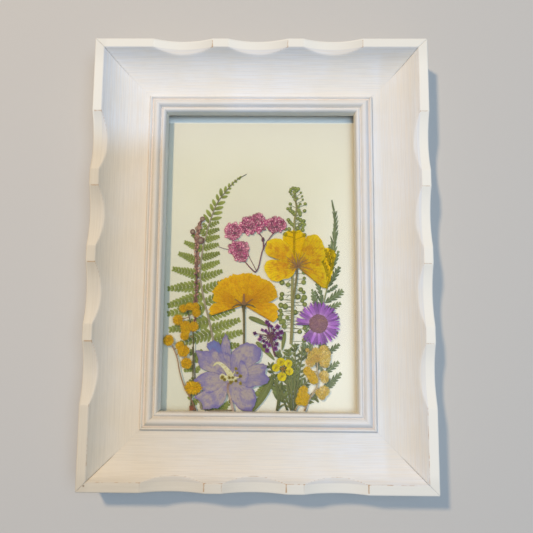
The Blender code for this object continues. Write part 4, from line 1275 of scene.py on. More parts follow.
# the flower with translucent yellow petals
yellowLook = {
    "foot": (18.1, -3.5),
    "solidPetals": [
        [(16.2, -1.4), (12.6, -0.4), (8.1, 0.5), (4.4, 1.5), (2.9, 3.3), (2.6, 5.5), (3.5, 8.2), (5.9, 9.9),
         (8.8, 10.1), (11.4, 9.1), (14, 6.7), (16.2, 3)],
        [(19.9, -0.3), (21, 4.9), (21.8, 9.4), (23.2, 11.4), (25.8, 12.2), (28.4, 11.5), (29.9, 9), (31, 6.1),
         (31.5, 3.1), (30.9, 0.1), (28.7, -1.7), (25, -2.9), (21.4, -3.3)],
        [(15.5, -2.2), (12.6, -1.1), (8.9, -0.4), (5.2, -0.2), (3, -1.5), (2.3, -3.7), (2.5, -5.6),
         (3.4, -7.1), (4.5, -9.3), (6.7, -10.5), (9.3, -10.7), (11.5, -9.6), (14, -9.2), (16.2, -7.4),
         (17.3, -5.1)],
        [(22.5, -4.4), (24.7, -6.9), (26.5, -9.5), (28.3, -12.1), (30.1, -13.5), (31.5, -13.5), (32.3, -11.3),
         (31.6, -6.2), (29.8, -1.7), (26.9, -1), (23.2, -2.1)],
    ],
    "sheerPetals": [
        [(15.1, -0.7), (12.5, 3.7), (11.2, 8.6), (11.2, 11.2), (12.1, 13.1), (14.4, 14.2), (16.2, 13.8),
         (18.1, 14.2), (19.9, 13.9), (21.8, 12.4), (22.1, 10.1), (21, 5.6), (19.5, 1.2)],
        [(23.2, -2.9), (28.4, 1.2), (30.6, 5.3), (33.2, 5.7), (35.7, 4.6), (36.6, 2.4), (36.1, -1),
         (35.3, -4.7), (34.4, -8), (33.4, -11.7), (32.3, -13.9), (31.5, -13.5), (29.8, -8)],
    ],
    "stem": [
        (18.1, -3.2), (17.9, -8), (17.4, -12), (16.8, -16), (16.2, -20), (16.0, -26), (15.8, -32),
        (15.6, -38),
    ],
    "petal": {
        "foot": rgb(164, 122, 62), "middle": 0.38, "body": rgb(230, 172, 20), "tip": rgb(240, 208, 18),
        "vein": rgb(178, 122, 38), "veins": 11, "veinAmount": 0.6, "veinFine": 3,
        "blotch": rgb(240, 206, 14), "blotchScale": 240, "blotchAmount": 0.8, "blotchFrom": (0.46, 0.56),
        "patch": rgb(206, 138, 24), "patchScale": 420, "patchAmount": 0.75, "tintShift": 0.26,
        "grain": 0.26, "grainScale": 1700, "stray": 0.6, "bump": 0.3, "rough": 0.65, "sheer": 0.16,
        "sheerColor": rgb(246, 222, 90), "edge": rgb(240, 214, 30), "edgeAmount": 0.55,
    },
    # what the two thin petals change; they let more light by than can be seen through them
    "sheerPetal": {
        "sheer": 0.84, "sheerColor": rgb(255, 242, 118), "letsLightBy": 0.8, "body": rgb(240, 208, 20),
        "tip": rgb(242, 218, 22), "blotch": rgb(246, 224, 24), "patch": rgb(212, 178, 30),
        "edge": rgb(248, 228, 26),
    },
    "form": {"frill": 0.05, "frills": 15, "wave": 0.07, "folds": 7, "cup": 0.02, "rings": 12, "columns": 84},
    "solidTints": (0.7, 0.35, 0.85, 0.3),
    # the direction and reach of each vein that stands out of the centre
    "veinLines": [
        (2.42, 7.5), (2.25, 4.4), (1.95, 4.2), (1.68, 7.4), (1.2, 5.0), (1.06, 7.8), (0.75, 4.0), (0.32, 6.9),
        (-0.18, 7.8), (-0.45, 3.4), (3.37, 4.3), (3.7, 3.2), (0.1, 3.2), (2.8, 4.2), (2.0, 6.4), (1.45, 6.6),
        (1.3, 3.6), (0.9, 6.2), (0.6, 6.6), (2.6, 5.2), (-0.6, 5.6),
    ],
    "veinColors": (rgb(150, 116, 72), rgb(118, 90, 70)),
    "stemLook": {
        "foot": rgb(92, 80, 66), "middle": 0.3, "body": rgb(132, 126, 82), "tip": rgb(150, 146, 96),
        "tintShift": 0.3, "stray": 0.1,
    },
}


def buildYellowFlower():
    look = yellowLook
    finishes = [makePlant("yellowPetals", look["petal"])]
    finishes.append(makePlant("sheerYellowPetals", look["petal"] | look["sheerPetal"]))
    finishes.append(makePlant("yellowFlowerStem", look["stemLook"]))
    finishes.append(makeStalk("yellowFlowerVeins", *look["veinColors"]))
    shape = newShape()
    height = layerOf("yellow_flower")
    foot = Vector(look["foot"])
    for index, outline in enumerate(look["sheerPetals"]):
        addFan(shape, foot, outline, height + 0.05 * index, look["form"], 0.6 + 0.2 * index, 1)
    for index, outline in enumerate(look["solidPetals"]):
        addFan(shape, foot, outline, height + 0.12 + 0.04 * index, look["form"], look["solidTints"][index])
    thicken(shape, 0.05)
    addStem(shape, look["stem"], 0.8, 1.2, height + 0.1, slot=2)
    dice = random.Random(3)
    for angle, reach in look["veinLines"]:
        out = heading(angle)
        bow = foot + out * reach * 0.5 + Vector((-out.y, out.x)) * dice.uniform(-0.35, 0.35)
        end = foot + out * reach
        addStem(shape, [foot, bow, end], 0.55, 0.14, height + 0.26, dice.random(), slot=3, flat=0.2)
    addBall(shape, foot, 0.9, height + 0.28, flat=0.25, level=3, lumps=0.25, tint=0.3, slot=3)
    finishPiece("yellowFlower", shape, finishes, ["yellow_flower"])


# the ruffled flower, pressed from the side
orangeLook = {
    "foot": (-7.4, -22.2),
    "petals": [
        [(-10.2, -21.9), (-15, -21.6), (-20.6, -21.1), (-22.5, -19.4), (-21.6, -17.9), (-22.5, -16.3),
         (-22.3, -14.8), (-20.8, -13.6), (-20.2, -11.7), (-18.4, -10.5), (-15.6, -11.5), (-11, -16)],
        [(-4.8, -21.9), (2.5, -21.2), (6.4, -19.9), (8.4, -18.2), (8.5, -16.1), (7.6, -14.2), (6.7, -12.7),
         (5.5, -11), (2.9, -10.2), (-1, -13), (-4.4, -17)],
        [(-9.6, -20), (-15.6, -15.4), (-19.6, -12.2), (-18.4, -10.5), (-17.2, -9.6), (-14.7, -8.6),
         (-12.9, -7.4), (-9.8, -7.7), (-7.4, -7.1), (-6, -10), (-6.6, -16)],
        [(-8, -18), (-10.6, -11), (-9.8, -7.7), (-7.4, -7.0), (-4.9, -6.7), (-3.4, -7.2), (-0.6, -7.9),
         (1.4, -9.4), (3.1, -10.2), (4.6, -11.4), (0.6, -15), (-4, -19.4)],
        [(-10.9, -22.7), (-13.9, -23.9), (-16.9, -25.1), (-19.9, -26.1), (-22.3, -27), (-23.3, -26.7),
         (-23.9, -24.6), (-23.3, -23), (-21.5, -21.5), (-17, -20.9), (-12.4, -21.5)],
        [(-3, -22.5), (0.4, -25.1), (3.4, -27.6), (5.1, -29.3), (6.8, -30.1), (8.5, -28.4), (8.9, -25.4),
         (8.5, -22.9), (6.8, -21.2), (2.5, -20.8), (-1.7, -21.7)],
    ],
    "tints": (0.35, 0.3, 0.6, 0.45, 0.75, 0.7),
    "stem": [(-7.4, -21.8), (-7.3, -26), (-7.1, -33), (-7.1, -41.4)],
    "stalk": (rgb(114, 104, 66), rgb(64, 58, 42)),
    # direction, reach and width
    "sepals": [(1.57, 5.4, 1.3), (2.55, 5.2, 0.7), (0.62, 5.2, 0.7), (2.0, 1.9, 0.7), (1.15, 1.9, 0.7)],
    "sepalColors": (rgb(150, 108, 66), rgb(112, 92, 66)),
    "collar": [(0, -0.2), (1.8, 0.25), (3.9, -0.15), (5.6, -1.3)],  # from the foot out to one side
    "form": {"frill": 0.06, "frills": 22, "wave": 0.08, "folds": 9, "cup": 0.05, "rings": 14, "columns": 96},
    "petal": {
        "foot": rgb(198, 138, 24), "middle": 0.5, "body": rgb(217, 157, 12), "tip": rgb(224, 172, 12),
        "vein": rgb(188, 122, 8), "veins": 18, "veinAmount": 0.45, "veinFine": 3,
        "blotch": rgb(226, 180, 8), "blotchScale": 300, "blotchAmount": 0.8, "blotchFrom": (0.46, 0.58),
        "patch": rgb(194, 128, 8), "patchScale": 620, "patchAmount": 0.55, "tintShift": 0.26, "grain": 0.3,
        "grainScale": 1500, "bump": 0.3, "stray": 0.4, "edge": rgb(228, 184, 14), "edgeAmount": 0.55,
    },
}


def buildOrangeFlower():
    look = orangeLook
    finishes = [makePlant("orangePetals", look["petal"]), makeStalk("orangeFlowerStem", *look["stalk"])]
    finishes.append(makeStalk("orangeSepals", *look["sepalColors"]))
    shape = newShape()
    height = layerOf("orange_flower")
    foot = Vector(look["foot"])
    for index, outline in enumerate(look["petals"]):
        addFan(shape, foot, outline, height + 0.03 * index, look["form"], look["tints"][index])
    thicken(shape, 0.05)
    addStem(shape, look["stem"], 1.15, 0.9, height + 0.15, 0.4)
    addStem(shape, [foot + Vector((0, -0.5)), foot + Vector((0, -3.5))], 2.1, 0.8, height + 0.15, 0.1)
    for angle, reach, width in look["sepals"]:
        end = foot + heading(angle) * reach
        addStem(shape, [foot, end], width * 1.3, width * 0.4, height + 0.3, 0.4, slot=2, flat=0.2)
    for side in (-1, 1):
        points = [foot + Vector((side * x, y)) for x, y in look["collar"]]
        addStem(shape, points, 1.1, 0.3, height + 0.24, 0.1, flat=0.25)
    finishPiece("orangeFlower", shape, finishes, ["orange_flower"])


# the purple daisy
daisyLook = {
    "centre": (28.2, -30.8),
    "discRadius": 4.5,
    "rayRadius": 10.5,
    "rays": 52,
    "gaps": [(math.radians(186), math.radians(216)), (2.72, 2.84)],
    "longRays": (2.84, 3.2, 0.9),  # from and to which angle, and how much longer
    "discBuds": 330,
    "ray": {
        "foot": rgb(196, 150, 206), "middle": 0.35, "body": rgb(168, 112, 190), "tip": rgb(154, 98, 182),
        "vein": rgb(206, 168, 214), "veins": 1.5, "veinAmount": 0.45, "tintShift": 0.85, "grain": 0.35,
        "edge": rgb(186, 140, 204), "edgeAmount": 0.3,
    },
    "disc": {
        "foot": rgb(150, 112, 124), "body": rgb(152, 116, 124), "tip": rgb(150, 108, 124),
        "blotch": rgb(176, 138, 120), "blotchScale": 500, "tintShift": 0.7, "grain": 0.7, "bump": 0.3,
    },
}


def buildDaisy():
    look = daisyLook
    finishes = [makePlant("violetRays", look["ray"]), makePlant("daisyDisc", look["disc"])]
    shape = newShape()
    height = layerOf("daisy")
    centre = Vector(look["centre"])
    dice = random.Random(61)
    longFrom, longTo, longer = look["longRays"]
    for index in range(look["rays"]):
        angle = math.tau * index / look["rays"] + dice.uniform(-0.03, 0.03)
        if any(low < angle < high for low, high in look["gaps"]):
            continue
        out = heading(angle)
        reach = look["rayRadius"] * dice.uniform(0.93, 1.02) + (longer if longFrom < angle < longTo else 0)
        lift = height + dice.uniform(0, 0.2)
        foot = centre + out * (look["discRadius"] - 0.8)
        bend = dice.uniform(-0.15, 0.15)
        end = centre + out * reach
        addBlade(shape, foot, end, dice.uniform(1.0, 1.25), lift, bend, dice.random(), blunt=0.28)
    thicken(shape, 0.05)
    lift = height + 0.15
    addBall(shape, centre, look["discRadius"], lift, flat=0.06, level=4, lumps=0.06, tint=0.4, slot=1)
    for index in range(look["discBuds"]):
        away = look["discRadius"] * math.sqrt((index + 0.5) / look["discBuds"])
        spot, lift = centre + heading(index * goldenAngle) * away, height + 0.36 - 0.01 * away
        addBall(shape, spot, 0.2, lift, flat=0.8, level=1, lumps=0.2, tint=dice.random(), slot=1)
    finishPiece("daisy", shape, finishes, ["daisy"])


# the dark purple umbel
alyssumLook = {
    "hub": (5.6, -36.6),
    "hubBuds": 14,
    "stem": [(7.9, -46.4), (6.6, -42.5), (5.6, -36.6)],
    "stalk": (rgb(122, 88, 92), rgb(92, 54, 70)),
    # x, y and size
    "florets": [
        (-2.0, -35.5, 1.3), (0.3, -38.3, 1.35), (0.8, -37.0, 1.2), (1.5, -33.9, 1.1), (3.2, -34.3, 1.3),
        (3.7, -30.2, 1.5), (4.7, -31.6, 1.5), (5.9, -32.2, 1.2), (8.8, -32.4, 1.8), (7.1, -33.9, 1.2),
        (10.5, -34.9, 1.7), (8.8, -35.7, 1.7), (10.1, -37.6, 1.4), (7.7, -42.6, 1.7), (8.4, -40.4, 1.5),
        (3.9, -43.5, 1.6), (2.6, -41.4, 1.4), (4.9, -41.0, 1.4), (2.2, -39.1, 1.2), (3.7, -39.8, 1.2),
        (7.2, -38.2, 1.2), (4.4, -35.6, 1.1), (6.6, -35.8, 1.2), (8.0, -37.4, 1.1),
    ],
    "petal": {
        "foot": rgb(82, 44, 74), "body": rgb(122, 66, 122), "tip": rgb(138, 78, 144),
        "blotch": rgb(78, 34, 78), "blotchScale": 700, "tintShift": 0.9, "grain": 0.4,
    },
}


def buildAlyssum():
    look = alyssumLook
    finishes = [makePlant("plumPetals", look["petal"]), makeStalk("alyssumStalks", *look["stalk"])]
    shape = newShape()
    height = layerOf("alyssum")
    dice = random.Random(71)
    source = addFloret(shape, 4, 1.0, 0.95, 0.5)
    for x, y, size in look["florets"]:
        lift = height + dice.uniform(0.05, 0.3)
        copyVerts(shape, source, setDown(x, y, lift, dice.uniform(0, 1.5), size * 0.78), dice.random())
    bmesh.ops.delete(shape, geom=source)
    thicken(shape, 0.06)
    hub = Vector(look["hub"])
    for x, y, size in look["florets"]:
        middle = hub.lerp(Vector((x, y)), 0.5) + Vector((dice.uniform(-0.3, 0.3), dice.uniform(-0.3, 0.3)))
        addStem(shape, [hub, middle, (x, y)], 0.38, 0.3, height + 0.08, dice.random(), sides=6)
        addBall(shape, (x, y), 0.28 * size, height + 0.3, level=1, tint=0.1)
    for index in range(look["hubBuds"]):
        spot = hub + heading(index * 2.4) * (0.5 + 0.1 * index)
        radius, tint = dice.uniform(0.3, 0.5), dice.random()
        addBall(shape, spot, radius, height + 0.2, lumps=0.2, tint=tint, slot=1)
    addStem(shape, look["stem"], 0.9, 0.7, height + 0.08)
    finishPiece("alyssum", shape, finishes, ["alyssum"])


# the small yellow umbel
umbelLook = {
    "centre": (11.4, -52.1),
    # x, y and radius
    "florets": [
        (10.4, -48.8, 2.0), (13.9, -49.5, 1.9), (8.1, -51.5, 1.9), (14.4, -53.1, 1.9), (10.9, -55.6, 2.2),
    ],
    "petals": 5,
    "petalWidth": 2.9,
    "stalk": (rgb(164, 132, 52), rgb(132, 96, 44)),
    "petal": {
        "foot": rgb(166, 146, 18), "middle": 0.3, "body": rgb(212, 192, 12), "tip": rgb(222, 202, 20),
        "blotch": rgb(182, 158, 16), "blotchScale": 500, "tintShift": 0.35, "grain": 0.3, "bump": 0.2,
    },
}


def buildUmbel():
    look = umbelLook
    finishes = [makePlant("lemonPetals", look["petal"]), makeStalk("umbelStalks", *look["stalk"])]
    shape = newShape()
    height = layerOf("yellow_umbel")
    dice = random.Random(81)
    for x, y, radius in look["florets"]:
        turn = dice.uniform(0, 1.2)
        middle = Vector((x, y))
        for index in range(look["petals"]):
            out = heading(turn + math.tau * index / look["petals"])
            foot, tip, lift = middle + out * 0.1, middle + out * radius, height + 0.04 * (index % 3)
            addBlade(shape, foot, tip, look["petalWidth"], lift, 0, dice.random(), blunt=0.4)
    thicken(shape, 0.06)
    centre = Vector(look["centre"])
    for x, y, _ in look["florets"]:
        middle = centre.lerp(Vector((x, y)), 0.55)
        addStem(shape, [centre, middle], 0.8, 0.4, height + 0.12, dice.random())
        addBall(shape, (x, y), 0.3, height + 0.12, flat=0.2, lumps=0.2, tint=1.0, slot=1)
    addBall(shape, centre, 0.9, height + 0.15, flat=0.3, lumps=0.3, tint=0.4, slot=1)
    finishPiece("yellowUmbel", shape, finishes, ["yellow_umbel"])


# the lavender-blue flower
delphiniumLook = {
    "centre": (-13.6, -56.8),
    "backPetal": [
        (-20.5, -45), (-24.4, -42.6), (-24.6, -40.7), (-23.6, -40), (-21.6, -39), (-19.6, -39.7),
        (-18.4, -40.7), (-17.6, -44),
    ],
    # outline and tint, from the back to the front
    "petals": [
        ([(-17, -50), (-18.5, -44.6), (-18.2, -42), (-17.6, -39.7), (-16, -36), (-15.3, -36.7), (-14, -39),
          (-13.6, -41.3), (-13, -48)], 0.6),
        ([(-15.1, -55), (-18, -53.7), (-22, -52.5), (-26, -52.5), (-27.7, -51.5), (-28.4, -48.6),
          (-29.5, -45), (-30.2, -43.7), (-26.8, -44), (-23.9, -43.7), (-20.9, -43), (-18.9, -44.9),
          (-16.9, -46), (-14, -52)], 0.5),
        ([(-13.4, -53.7), (-18.1, -50.5), (-20.1, -47.9), (-19.8, -45.6), (-17.9, -44.3), (-15.2, -44.6),
          (-13.2, -46.8), (-12.5, -50.4)], 0.35),
        ([(-13.1, -52.4), (-13.2, -47.2), (-12.6, -44.5), (-10.9, -42.6), (-8.6, -40.9), (-6, -40.2),
          (-3.3, -40.2), (-1, -41.2), (0.7, -42.5), (1.2, -44.8), (0.7, -47.1), (-0.9, -49), (-3.9, -51),
          (-5.8, -53), (-9.1, -54.9)], 0.5),
        ([(-10.7, -56.9), (-8.5, -53.6), (-4.9, -51.7), (-3.6, -50.4), (-0.3, -49.7), (2.7, -50), (4, -50.9),
          (3.1, -52.9), (3.4, -54.5), (5.1, -56.5), (4.4, -58.1), (2.1, -59.4), (-0.8, -60.1), (-3.8, -60.7),
          (-6.7, -59.8), (-9.4, -58.2)], 0.4),
        ([(-13.3, -58.9), (-10.7, -58.2), (-8.1, -59.1), (-5.8, -60.4), (-2.5, -61.4), (-1.4, -63.9),
          (-1.1, -66.5), (-2, -69.1), (-3, -71.2), (-5.6, -71.5), (-8.2, -71), (-10.6, -68.8), (-12.9, -66),
          (-13.9, -62.7)], 0.55),
        ([(-14.7, -58.9), (-16.6, -60.2), (-19.9, -62.2), (-23.1, -63.5), (-26.8, -62.9), (-27.7, -64.2),
          (-30.3, -65.1), (-27.7, -66.7), (-26.3, -68.6), (-25.6, -70.6), (-23, -70.8), (-19.7, -70.2),
          (-17.1, -68.9), (-15.5, -66.3), (-14.9, -62.8)], 0.7),
        ([(-15.3, -57.9), (-18.4, -55), (-21.3, -53.7), (-25, -53.8), (-27.6, -55.1), (-29.5, -56.7),
          (-30.2, -58.4), (-28.6, -59.4), (-27.2, -61), (-26.5, -62.2), (-23.8, -63.2), (-21.2, -62.5),
          (-18.9, -60.9), (-16.6, -59.5)], 0.6),
    ],
    "innerPetal": [(-9.3, -52.5), (-8.7, -48.3), (-6.9, -49.0), (-5.1, -52.5), (-4.9, -56.5), (-6.8, -58.8),
                   (-8.6, -56.6)],
    "paleTuft": [
        (-21.4, -50.9), (-19.9, -49.6), (-18.1, -49.8), (-16.0, -51.6), (-14.5, -53.3), (-12.9, -55.6),
    ],
    "innerFoot": (-8.6, -57.4),
    "creamParts": [(-17.0, -55.9, 1.4), (-13.0, -56.2, 1.8), (-15.4, -56.5, 1.2), (-11.4, -56.8, 1.2)],
    "olives": [(-17, -56.1), (-16, -57.1), (-13.7, -56.1), (-12.2, -56.1), (-10.7, -52.0), (-10.1, -54.0),
               (-8.6, -55.5), (-12.9, -58.3), (-10.6, -57.6), (-8.5, -58.8)],
    "stamens": 5,
    "stamenFoot": (-13, -56.6),
    "stem": [(-13.9, -58.6), (-14.4, -61.6), (-13.3, -65.3), (-12.2, -69.0), (-11.7, -71.5)],
    "petal": {
        "foot": rgb(150, 135, 158), "middle": 0.55, "body": rgb(156, 143, 160), "tip": rgb(132, 121, 168),
        "vein": rgb(118, 104, 156), "veins": 6, "veinAmount": 0.45, "blotch": rgb(180, 164, 152),
        "blotchScale": 190, "blotchAmount": 0.85, "blotchFrom": (0.38, 0.58), "patch": rgb(126, 116, 162),
        "patchScale": 420, "patchAmount": 0.55, "edge": rgb(114, 104, 160), "edgeAmount": 0.65,
        "tintShift": 0.16, "grain": 0.24, "grainScale": 1800, "stray": 0.5, "bump": 0.16,
    },
    # what the blue petal at the back changes
    "bluePetal": {"body": rgb(114, 122, 172), "tip": rgb(112, 124, 174), "blotch": rgb(126, 134, 176)},
    "cream": {
        "foot": rgb(206, 200, 140), "body": rgb(222, 216, 178), "tip": rgb(212, 204, 150),
        "blotch": rgb(178, 160, 96), "blotchScale": 800, "tintShift": 0.2, "grain": 0.4,
    },
    "stalk": (rgb(186, 164, 148), rgb(132, 98, 84)),
    "oliveColors": (rgb(158, 140, 56), rgb(108, 92, 42)),
    "form": {"frill": 0.06, "frills": 18, "wave": 0.08, "folds": 4, "cup": 0.03, "rings": 10, "columns": 64},
}


def buildDelphinium():
    look = delphiniumLook
    finishes = [makePlant("lavenderPetals", look["petal"])]
    finishes.append(makePlant("bluePetals", look["petal"] | look["bluePetal"]))
    finishes.append(makeStalk("delphiniumStem", *look["stalk"]))
    finishes.append(makePlant("creamPetals", look["cream"]))
    finishes.append(makeStalk("oliveAnthers", *look["oliveColors"]))
    shape = newShape()
    height = layerOf("delphinium")
    addFan(shape, look["centre"], look["backPetal"], height, look["form"], 0.5, 1)
    for index, (outline, tint) in enumerate(look["petals"]):
        addFan(shape, look["centre"], outline, height + 0.04 + 0.035 * index, look["form"], tint)
    addFan(shape, look["innerFoot"], look["innerPetal"], height + 0.33, look["form"], 0.8)
    thicken(shape, 0.05)
    top = height + 0.32
    addStem(shape, look["paleTuft"], 0.5, 3.0, top, 0.6, slot=3, sides=10, flat=0.16, steps=6)
    dice = random.Random(91)
    for x, y, radius in look["creamParts"]:
        addBall(shape, (x, y), radius, top, flat=0.16, level=3, lumps=0.5, tint=dice.random(), slot=3)
    for spot in look["olives"]:
        radius, tint = dice.uniform(0.55, 0.95), dice.random()
        addBall(shape, spot, radius, top + 0.16, flat=0.25, lumps=0.6, tint=tint, slot=4)
    start = Vector(look["stamenFoot"])
    for index in range(look["stamens"]):
        end = start + heading(dice.uniform(-0.5, 1.3)) * dice.uniform(2.4, 4.2)
        addStem(shape, [start, end], 0.4, 0.7, top + 0.12, dice.random(), slot=3, sides=6)
    addStem(shape, look["stem"], 1.2, 1.1, top, 0.6, slot=2)
    finishPiece("delphinium", shape, finishes, ["delphinium"])


# the yellow balls at the left, and the paler ones at the right
mimosaLook = {
    "leftStem": [
        (-29.2, -71.4), (-31.6, -66), (-34, -62.3), (-35.8, -58), (-37.3, -53), (-38.6, -47), (-41.5, -40.6),
    ],
    "thinStem": [
        (-34.2, -25), (-33, -29), (-31.2, -35.8), (-31, -47.3), (-30.9, -58), (-31.4, -64.5), (-31.5, -71),
    ],
    "redFoot": [(-31.6, -69.2), (-31.2, -70.4), (-31.1, -71.4)],
    # x, y and radius
    "leftBalls": [
        (-36.2, -24.0, 1.95), (-33.2, -23.0, 1.95), (-30.4, -23.3, 2.1), (-29.9, -26.0, 2.1),
        (-38.6, -29.4, 2.5), (-35.0, -32.3, 2.5), (-31.1, -32.5, 2.45), (-34.8, -34.8, 2.2),
        (-35.2, -37.0, 2.1), (-42.8, -39.1, 2.6), (-37.4, -41.6, 2.1), (-35.6, -44.0, 2.9),
        (-34.1, -49.7, 2.65),
    ],
    "leftOval": (-30.6, -61.0, 4.1, 0.76),  # the last is how much shorter than wide it is
    "rightStems": [
        [(21.5, -71.2), (24, -65.5), (27.6, -59.6), (27.6, -53.2), (27.4, -45)], [(17.2, -71), (20, -66)],
    ],
    "rightBalls": [
        (25.1, -45.9, 2.3), (26.7, -43.9, 2.0), (30.6, -43.1, 2.4), (32.0, -45.0, 2.1), (24.4, -48.6, 2.4),
        (31.0, -49.0, 2.5), (28.6, -44.8, 1.7), (27.4, -47.0, 1.8), (30.0, -46.6, 2.0), (32.4, -47.2, 1.6),
        (22.9, -52.9, 2.1), (24.6, -54.8, 2.3), (25.8, -56.8, 2.2), (30.6, -54.8, 2.3), (31.0, -56.6, 1.9),
        (30.6, -62.2, 2.6), (28.4, -62.8, 1.9), (29.6, -64.4, 1.8), (20.9, -62.0, 2.3), (20.3, -64.4, 2.3),
        (19.4, -66.6, 2.2), (21.9, -64.9, 2.0), (21.4, -67.2, 1.8), (22.9, -43.2, 1.0),
    ],
    "strongWithin": (26, -50),  # the balls left of the one and below the other are a stronger yellow
    "stamens": 150,
    "stalk": (rgb(166, 136, 104), rgb(122, 92, 72)),
    "thinStalk": (rgb(96, 92, 60), rgb(64, 60, 42)),
    "footColors": (rgb(146, 88, 62), rgb(110, 62, 46)),
    "paleStalk": (rgb(184, 170, 138), rgb(146, 122, 96)),
    "brightBall": {"foot": rgb(190, 152, 26), "body": rgb(222, 188, 28), "tip": rgb(186, 150, 24)},
    "ball": {
        "foot": rgb(182, 136, 28), "middle": 0.5, "body": rgb(212, 168, 26), "tip": rgb(174, 134, 26),
        "blotch": rgb(228, 194, 36), "blotchScale": 480, "blotchAmount": 0.6, "tintShift": 0.7, "grain": 0.6,
        "grainScale": 2200, "bump": 0.3,
    },
    "paleBall": {
        "foot": rgb(208, 172, 86), "middle": 0.5, "body": rgb(216, 192, 92), "tip": rgb(190, 164, 74),
        "blotch": rgb(232, 214, 148), "blotchScale": 420, "blotchAmount": 0.8, "blotchFrom": (0.48, 0.6),
        "patch": rgb(200, 156, 66), "patchScale": 260, "patchAmount": 0.6, "tintShift": 0.8, "grain": 0.8,
        "grainScale": 2200, "bump": 0.3,
    },
}


def addPuffs(shape, places, height, slot, dice):
    # fluffy pressed flower heads: a lumpy core with stamens standing out of it
    verts = addBall(shape, (0, 0), 0.86, 0, flat=0.16, level=3, lumps=0.3, tint=0.35, slot=slot)
    along, tints = shape.verts.layers.float["along"], shape.verts.layers.float["tint"]
    for index in range(mimosaLook["stamens"]):
        rise = 1 - (index + 0.5) / mimosaLook["stamens"]
        side = heading(index * goldenAngle) * math.sqrt(1 - rise * rise)
        out = Vector((side.x, side.y, rise * 0.3))
        end = out * dice.uniform(0.88, 1.16)
        spike = bmesh.ops.create_cone(
            shape, segments=3, radius1=0.075 * mm, radius2=0.02 * mm, depth=0.36 * mm, cap_ends=True
        )["verts"]
        turn = out.to_track_quat("Z", "Y").to_matrix().to_4x4()
        bmesh.ops.transform(shape, matrix=Matrix.Translation(end * 0.86 * mm) @ turn, verts=spike)
        tint = dice.uniform(0.2, 1)
        for vert in spike:
            vert[along] = 0.5
            vert[tints] = tint
        markSlot(spike, slot)
        verts += spike
    for index, (x, y, radius, *oval) in enumerate(places):
        squash = Matrix.Diagonal((1, oval[0] if oval else 1, 1.0 / radius**0.5, 1))
        turn = 0 if oval else dice.uniform(0, 6)
        copyVerts(shape, verts, setDown(x, y, height + 0.06 * (index % 3), turn, radius) @ squash)
    bmesh.ops.delete(shape, geom=verts)


def addHeadStalks(shape, places, stems, width, height, tint):
    # from each head to the nearest place on a stem
    line = [spot for stem in stems for spot in smoothLine(stem, 6)]
    for x, y, _ in places:
        foot = min(line, key=lambda spot: (spot - Vector((x, y))).length)
        addStem(shape, [foot, (x, y)], width, 0.35, height, tint, sides=6)


def buildMimosa():
    look = mimosaLook
    dice = random.Random(101)
    gold, stalk = makePlant("mimosaGold", look["ball"]), makeStalk("mimosaStalk", *look["stalk"])
    thin = makeStalk("mimosaThinStalk", *look["thinStalk"])
    redFoot = makeStalk("mimosaFoot", *look["footColors"])
    shape = newShape()
    height = layerOf("left_mimosa")
    addPuffs(shape, [*look["leftBalls"], look["leftOval"]], height + 0.05, 0, dice)
    addStem(shape, look["leftStem"], 0.75, 0.5, height)
    addStem(shape, look["thinStem"], 0.4, 0.7, height, 0.2, slot=2)
    addHeadStalks(shape, look["leftBalls"], [look["leftStem"], look["thinStem"]], 0.4, height, 0.4)
    addStem(shape, look["redFoot"], 1.5, 2.3, height, slot=3, flat=0.2)
    finishPiece("leftMimosa", shape, [gold, stalk, thin, redFoot], ["left_mimosa"])

    pale, stalk = makePlant("paleMimosa", look["paleBall"]), makeStalk("paleMimosaStalk", *look["paleStalk"])
    bright = makePlant("brightMimosa", look["ball"] | look["brightBall"])
    shape = newShape()
    height = layerOf("right_mimosa")
    right, top = look["strongWithin"]
    strong = [ball for ball in look["rightBalls"] if ball[0] < right and ball[1] < top]
    washed = [ball for ball in look["rightBalls"] if ball not in strong]
    addPuffs(shape, strong, height + 0.05, 3, dice)
    addPuffs(shape, washed, height + 0.05, 2, dice)
    for stem in look["rightStems"]:
        addStem(shape, stem, 0.95, 0.6, height, 0.6)
    addHeadStalks(shape, look["rightBalls"], look["rightStems"][:1], 0.45, height, 0.5)
    finishPiece("rightMimosa", shape, [gold, stalk, pale, bright], ["right_mimosa"])


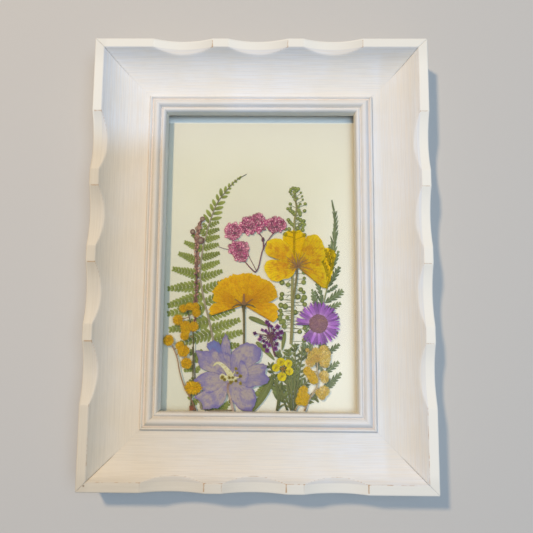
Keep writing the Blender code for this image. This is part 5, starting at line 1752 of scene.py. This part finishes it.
# the stage, the light and the camera, in metres, radians and watts
stageLook = {
    "floorSize": 5.0,
    "floorDrop": 0.0003,  # it lies just under the frame's back
    "floor": rgb(196, 194, 190),
    "cameraPlace": (0.00636, -0.03261, 0.26355),
    "cameraTurn": (0.1134, 0.0112, 0.0072),
    "lens": 36.07,
    "keyPlace": (-0.387, 0.417, 0.95),
    "keySize": 0.095,
    "keyPower": 7.5,
    "keyColor": (1.0, 0.745, 0.47),
    "skyColor": (0.65, 0.80, 1.0),
    "skyPower": 0.22,
    "fillPlace": (0.24, -0.02, 1.0),
    "fillSize": 0.7,
    "fillPower": 6.1,
    "fillColor": (0.64, 0.80, 1.0),
    "panelPlace": (0.085, -0.100, 0.6),
    "panelSize": 0.08,
    "panelPower": 0.034,
    "panelColor": (0.95, 0.98, 1.0),
}


def addLamp(name, place, size, power, color):
    light = bpy.data.lights.new(name, "AREA")
    light.shape = "DISK"
    light.size = size
    light.energy = power
    light.color = color
    lamp = bpy.data.objects.new(name, light)
    lamp.location = place
    lamp.rotation_euler = (-Vector(place)).to_track_quat("-Z", "Y").to_euler()
    bpy.context.scene.collection.objects.link(lamp)
    return lamp


def buildStage():
    look = stageLook
    shape = bmesh.new()
    bmesh.ops.create_grid(shape, x_segments=1, y_segments=1, size=look["floorSize"] / 2)
    bmesh.ops.translate(shape, verts=shape.verts, vec=(0, 0, -look["floorDrop"]))
    mesh = bpy.data.meshes.new("paleFloor")
    shape.to_mesh(mesh)
    shape.free()
    finish = Finish("paleFloorPaint", 0.85)
    finish.setColor(look["floor"])
    mesh.materials.append(finish.material)
    floor = bpy.data.objects.new("paleFloor", mesh)
    scene = bpy.context.scene
    scene.collection.objects.link(floor)
    for name in ("key", "fill", "panel"):
        lamp = addLamp(name + "Lamp", *(look[name + part] for part in ("Place", "Size", "Power", "Color")))
        lamp.visible_glossy = name == "panel"  # only this one shows in the glass, as a faint sheen
    world = bpy.data.worlds.new("softSky")
    world.use_nodes = True
    sky = world.node_tree.nodes["Background"]
    sky.inputs["Color"].default_value = (*look["skyColor"], 1)
    sky.inputs["Strength"].default_value = look["skyPower"]
    scene.world = world
    camera = bpy.data.cameras.new("camera")
    camera.sensor_width = 36
    camera.lens = look["lens"]
    camera.clip_start = 0.01
    viewer = bpy.data.objects.new("camera", camera)
    viewer.location = look["cameraPlace"]
    viewer.rotation_euler = look["cameraTurn"]
    scene.collection.objects.link(viewer)
    scene.camera = viewer
    scene.view_settings.view_transform = "Standard"
    print("stage, light and camera set")


buildStage()
buildFrame()
dressPanels()
buildFern()
buildSeedSpike()
buildPinkSprig()
buildPepperweed()
buildFeatherLeaf()
buildFoliage()
buildYellowFlower()
buildOrangeFlower()
buildDaisy()
buildAlyssum()
buildUmbel()
buildDelphinium()
buildMimosa()
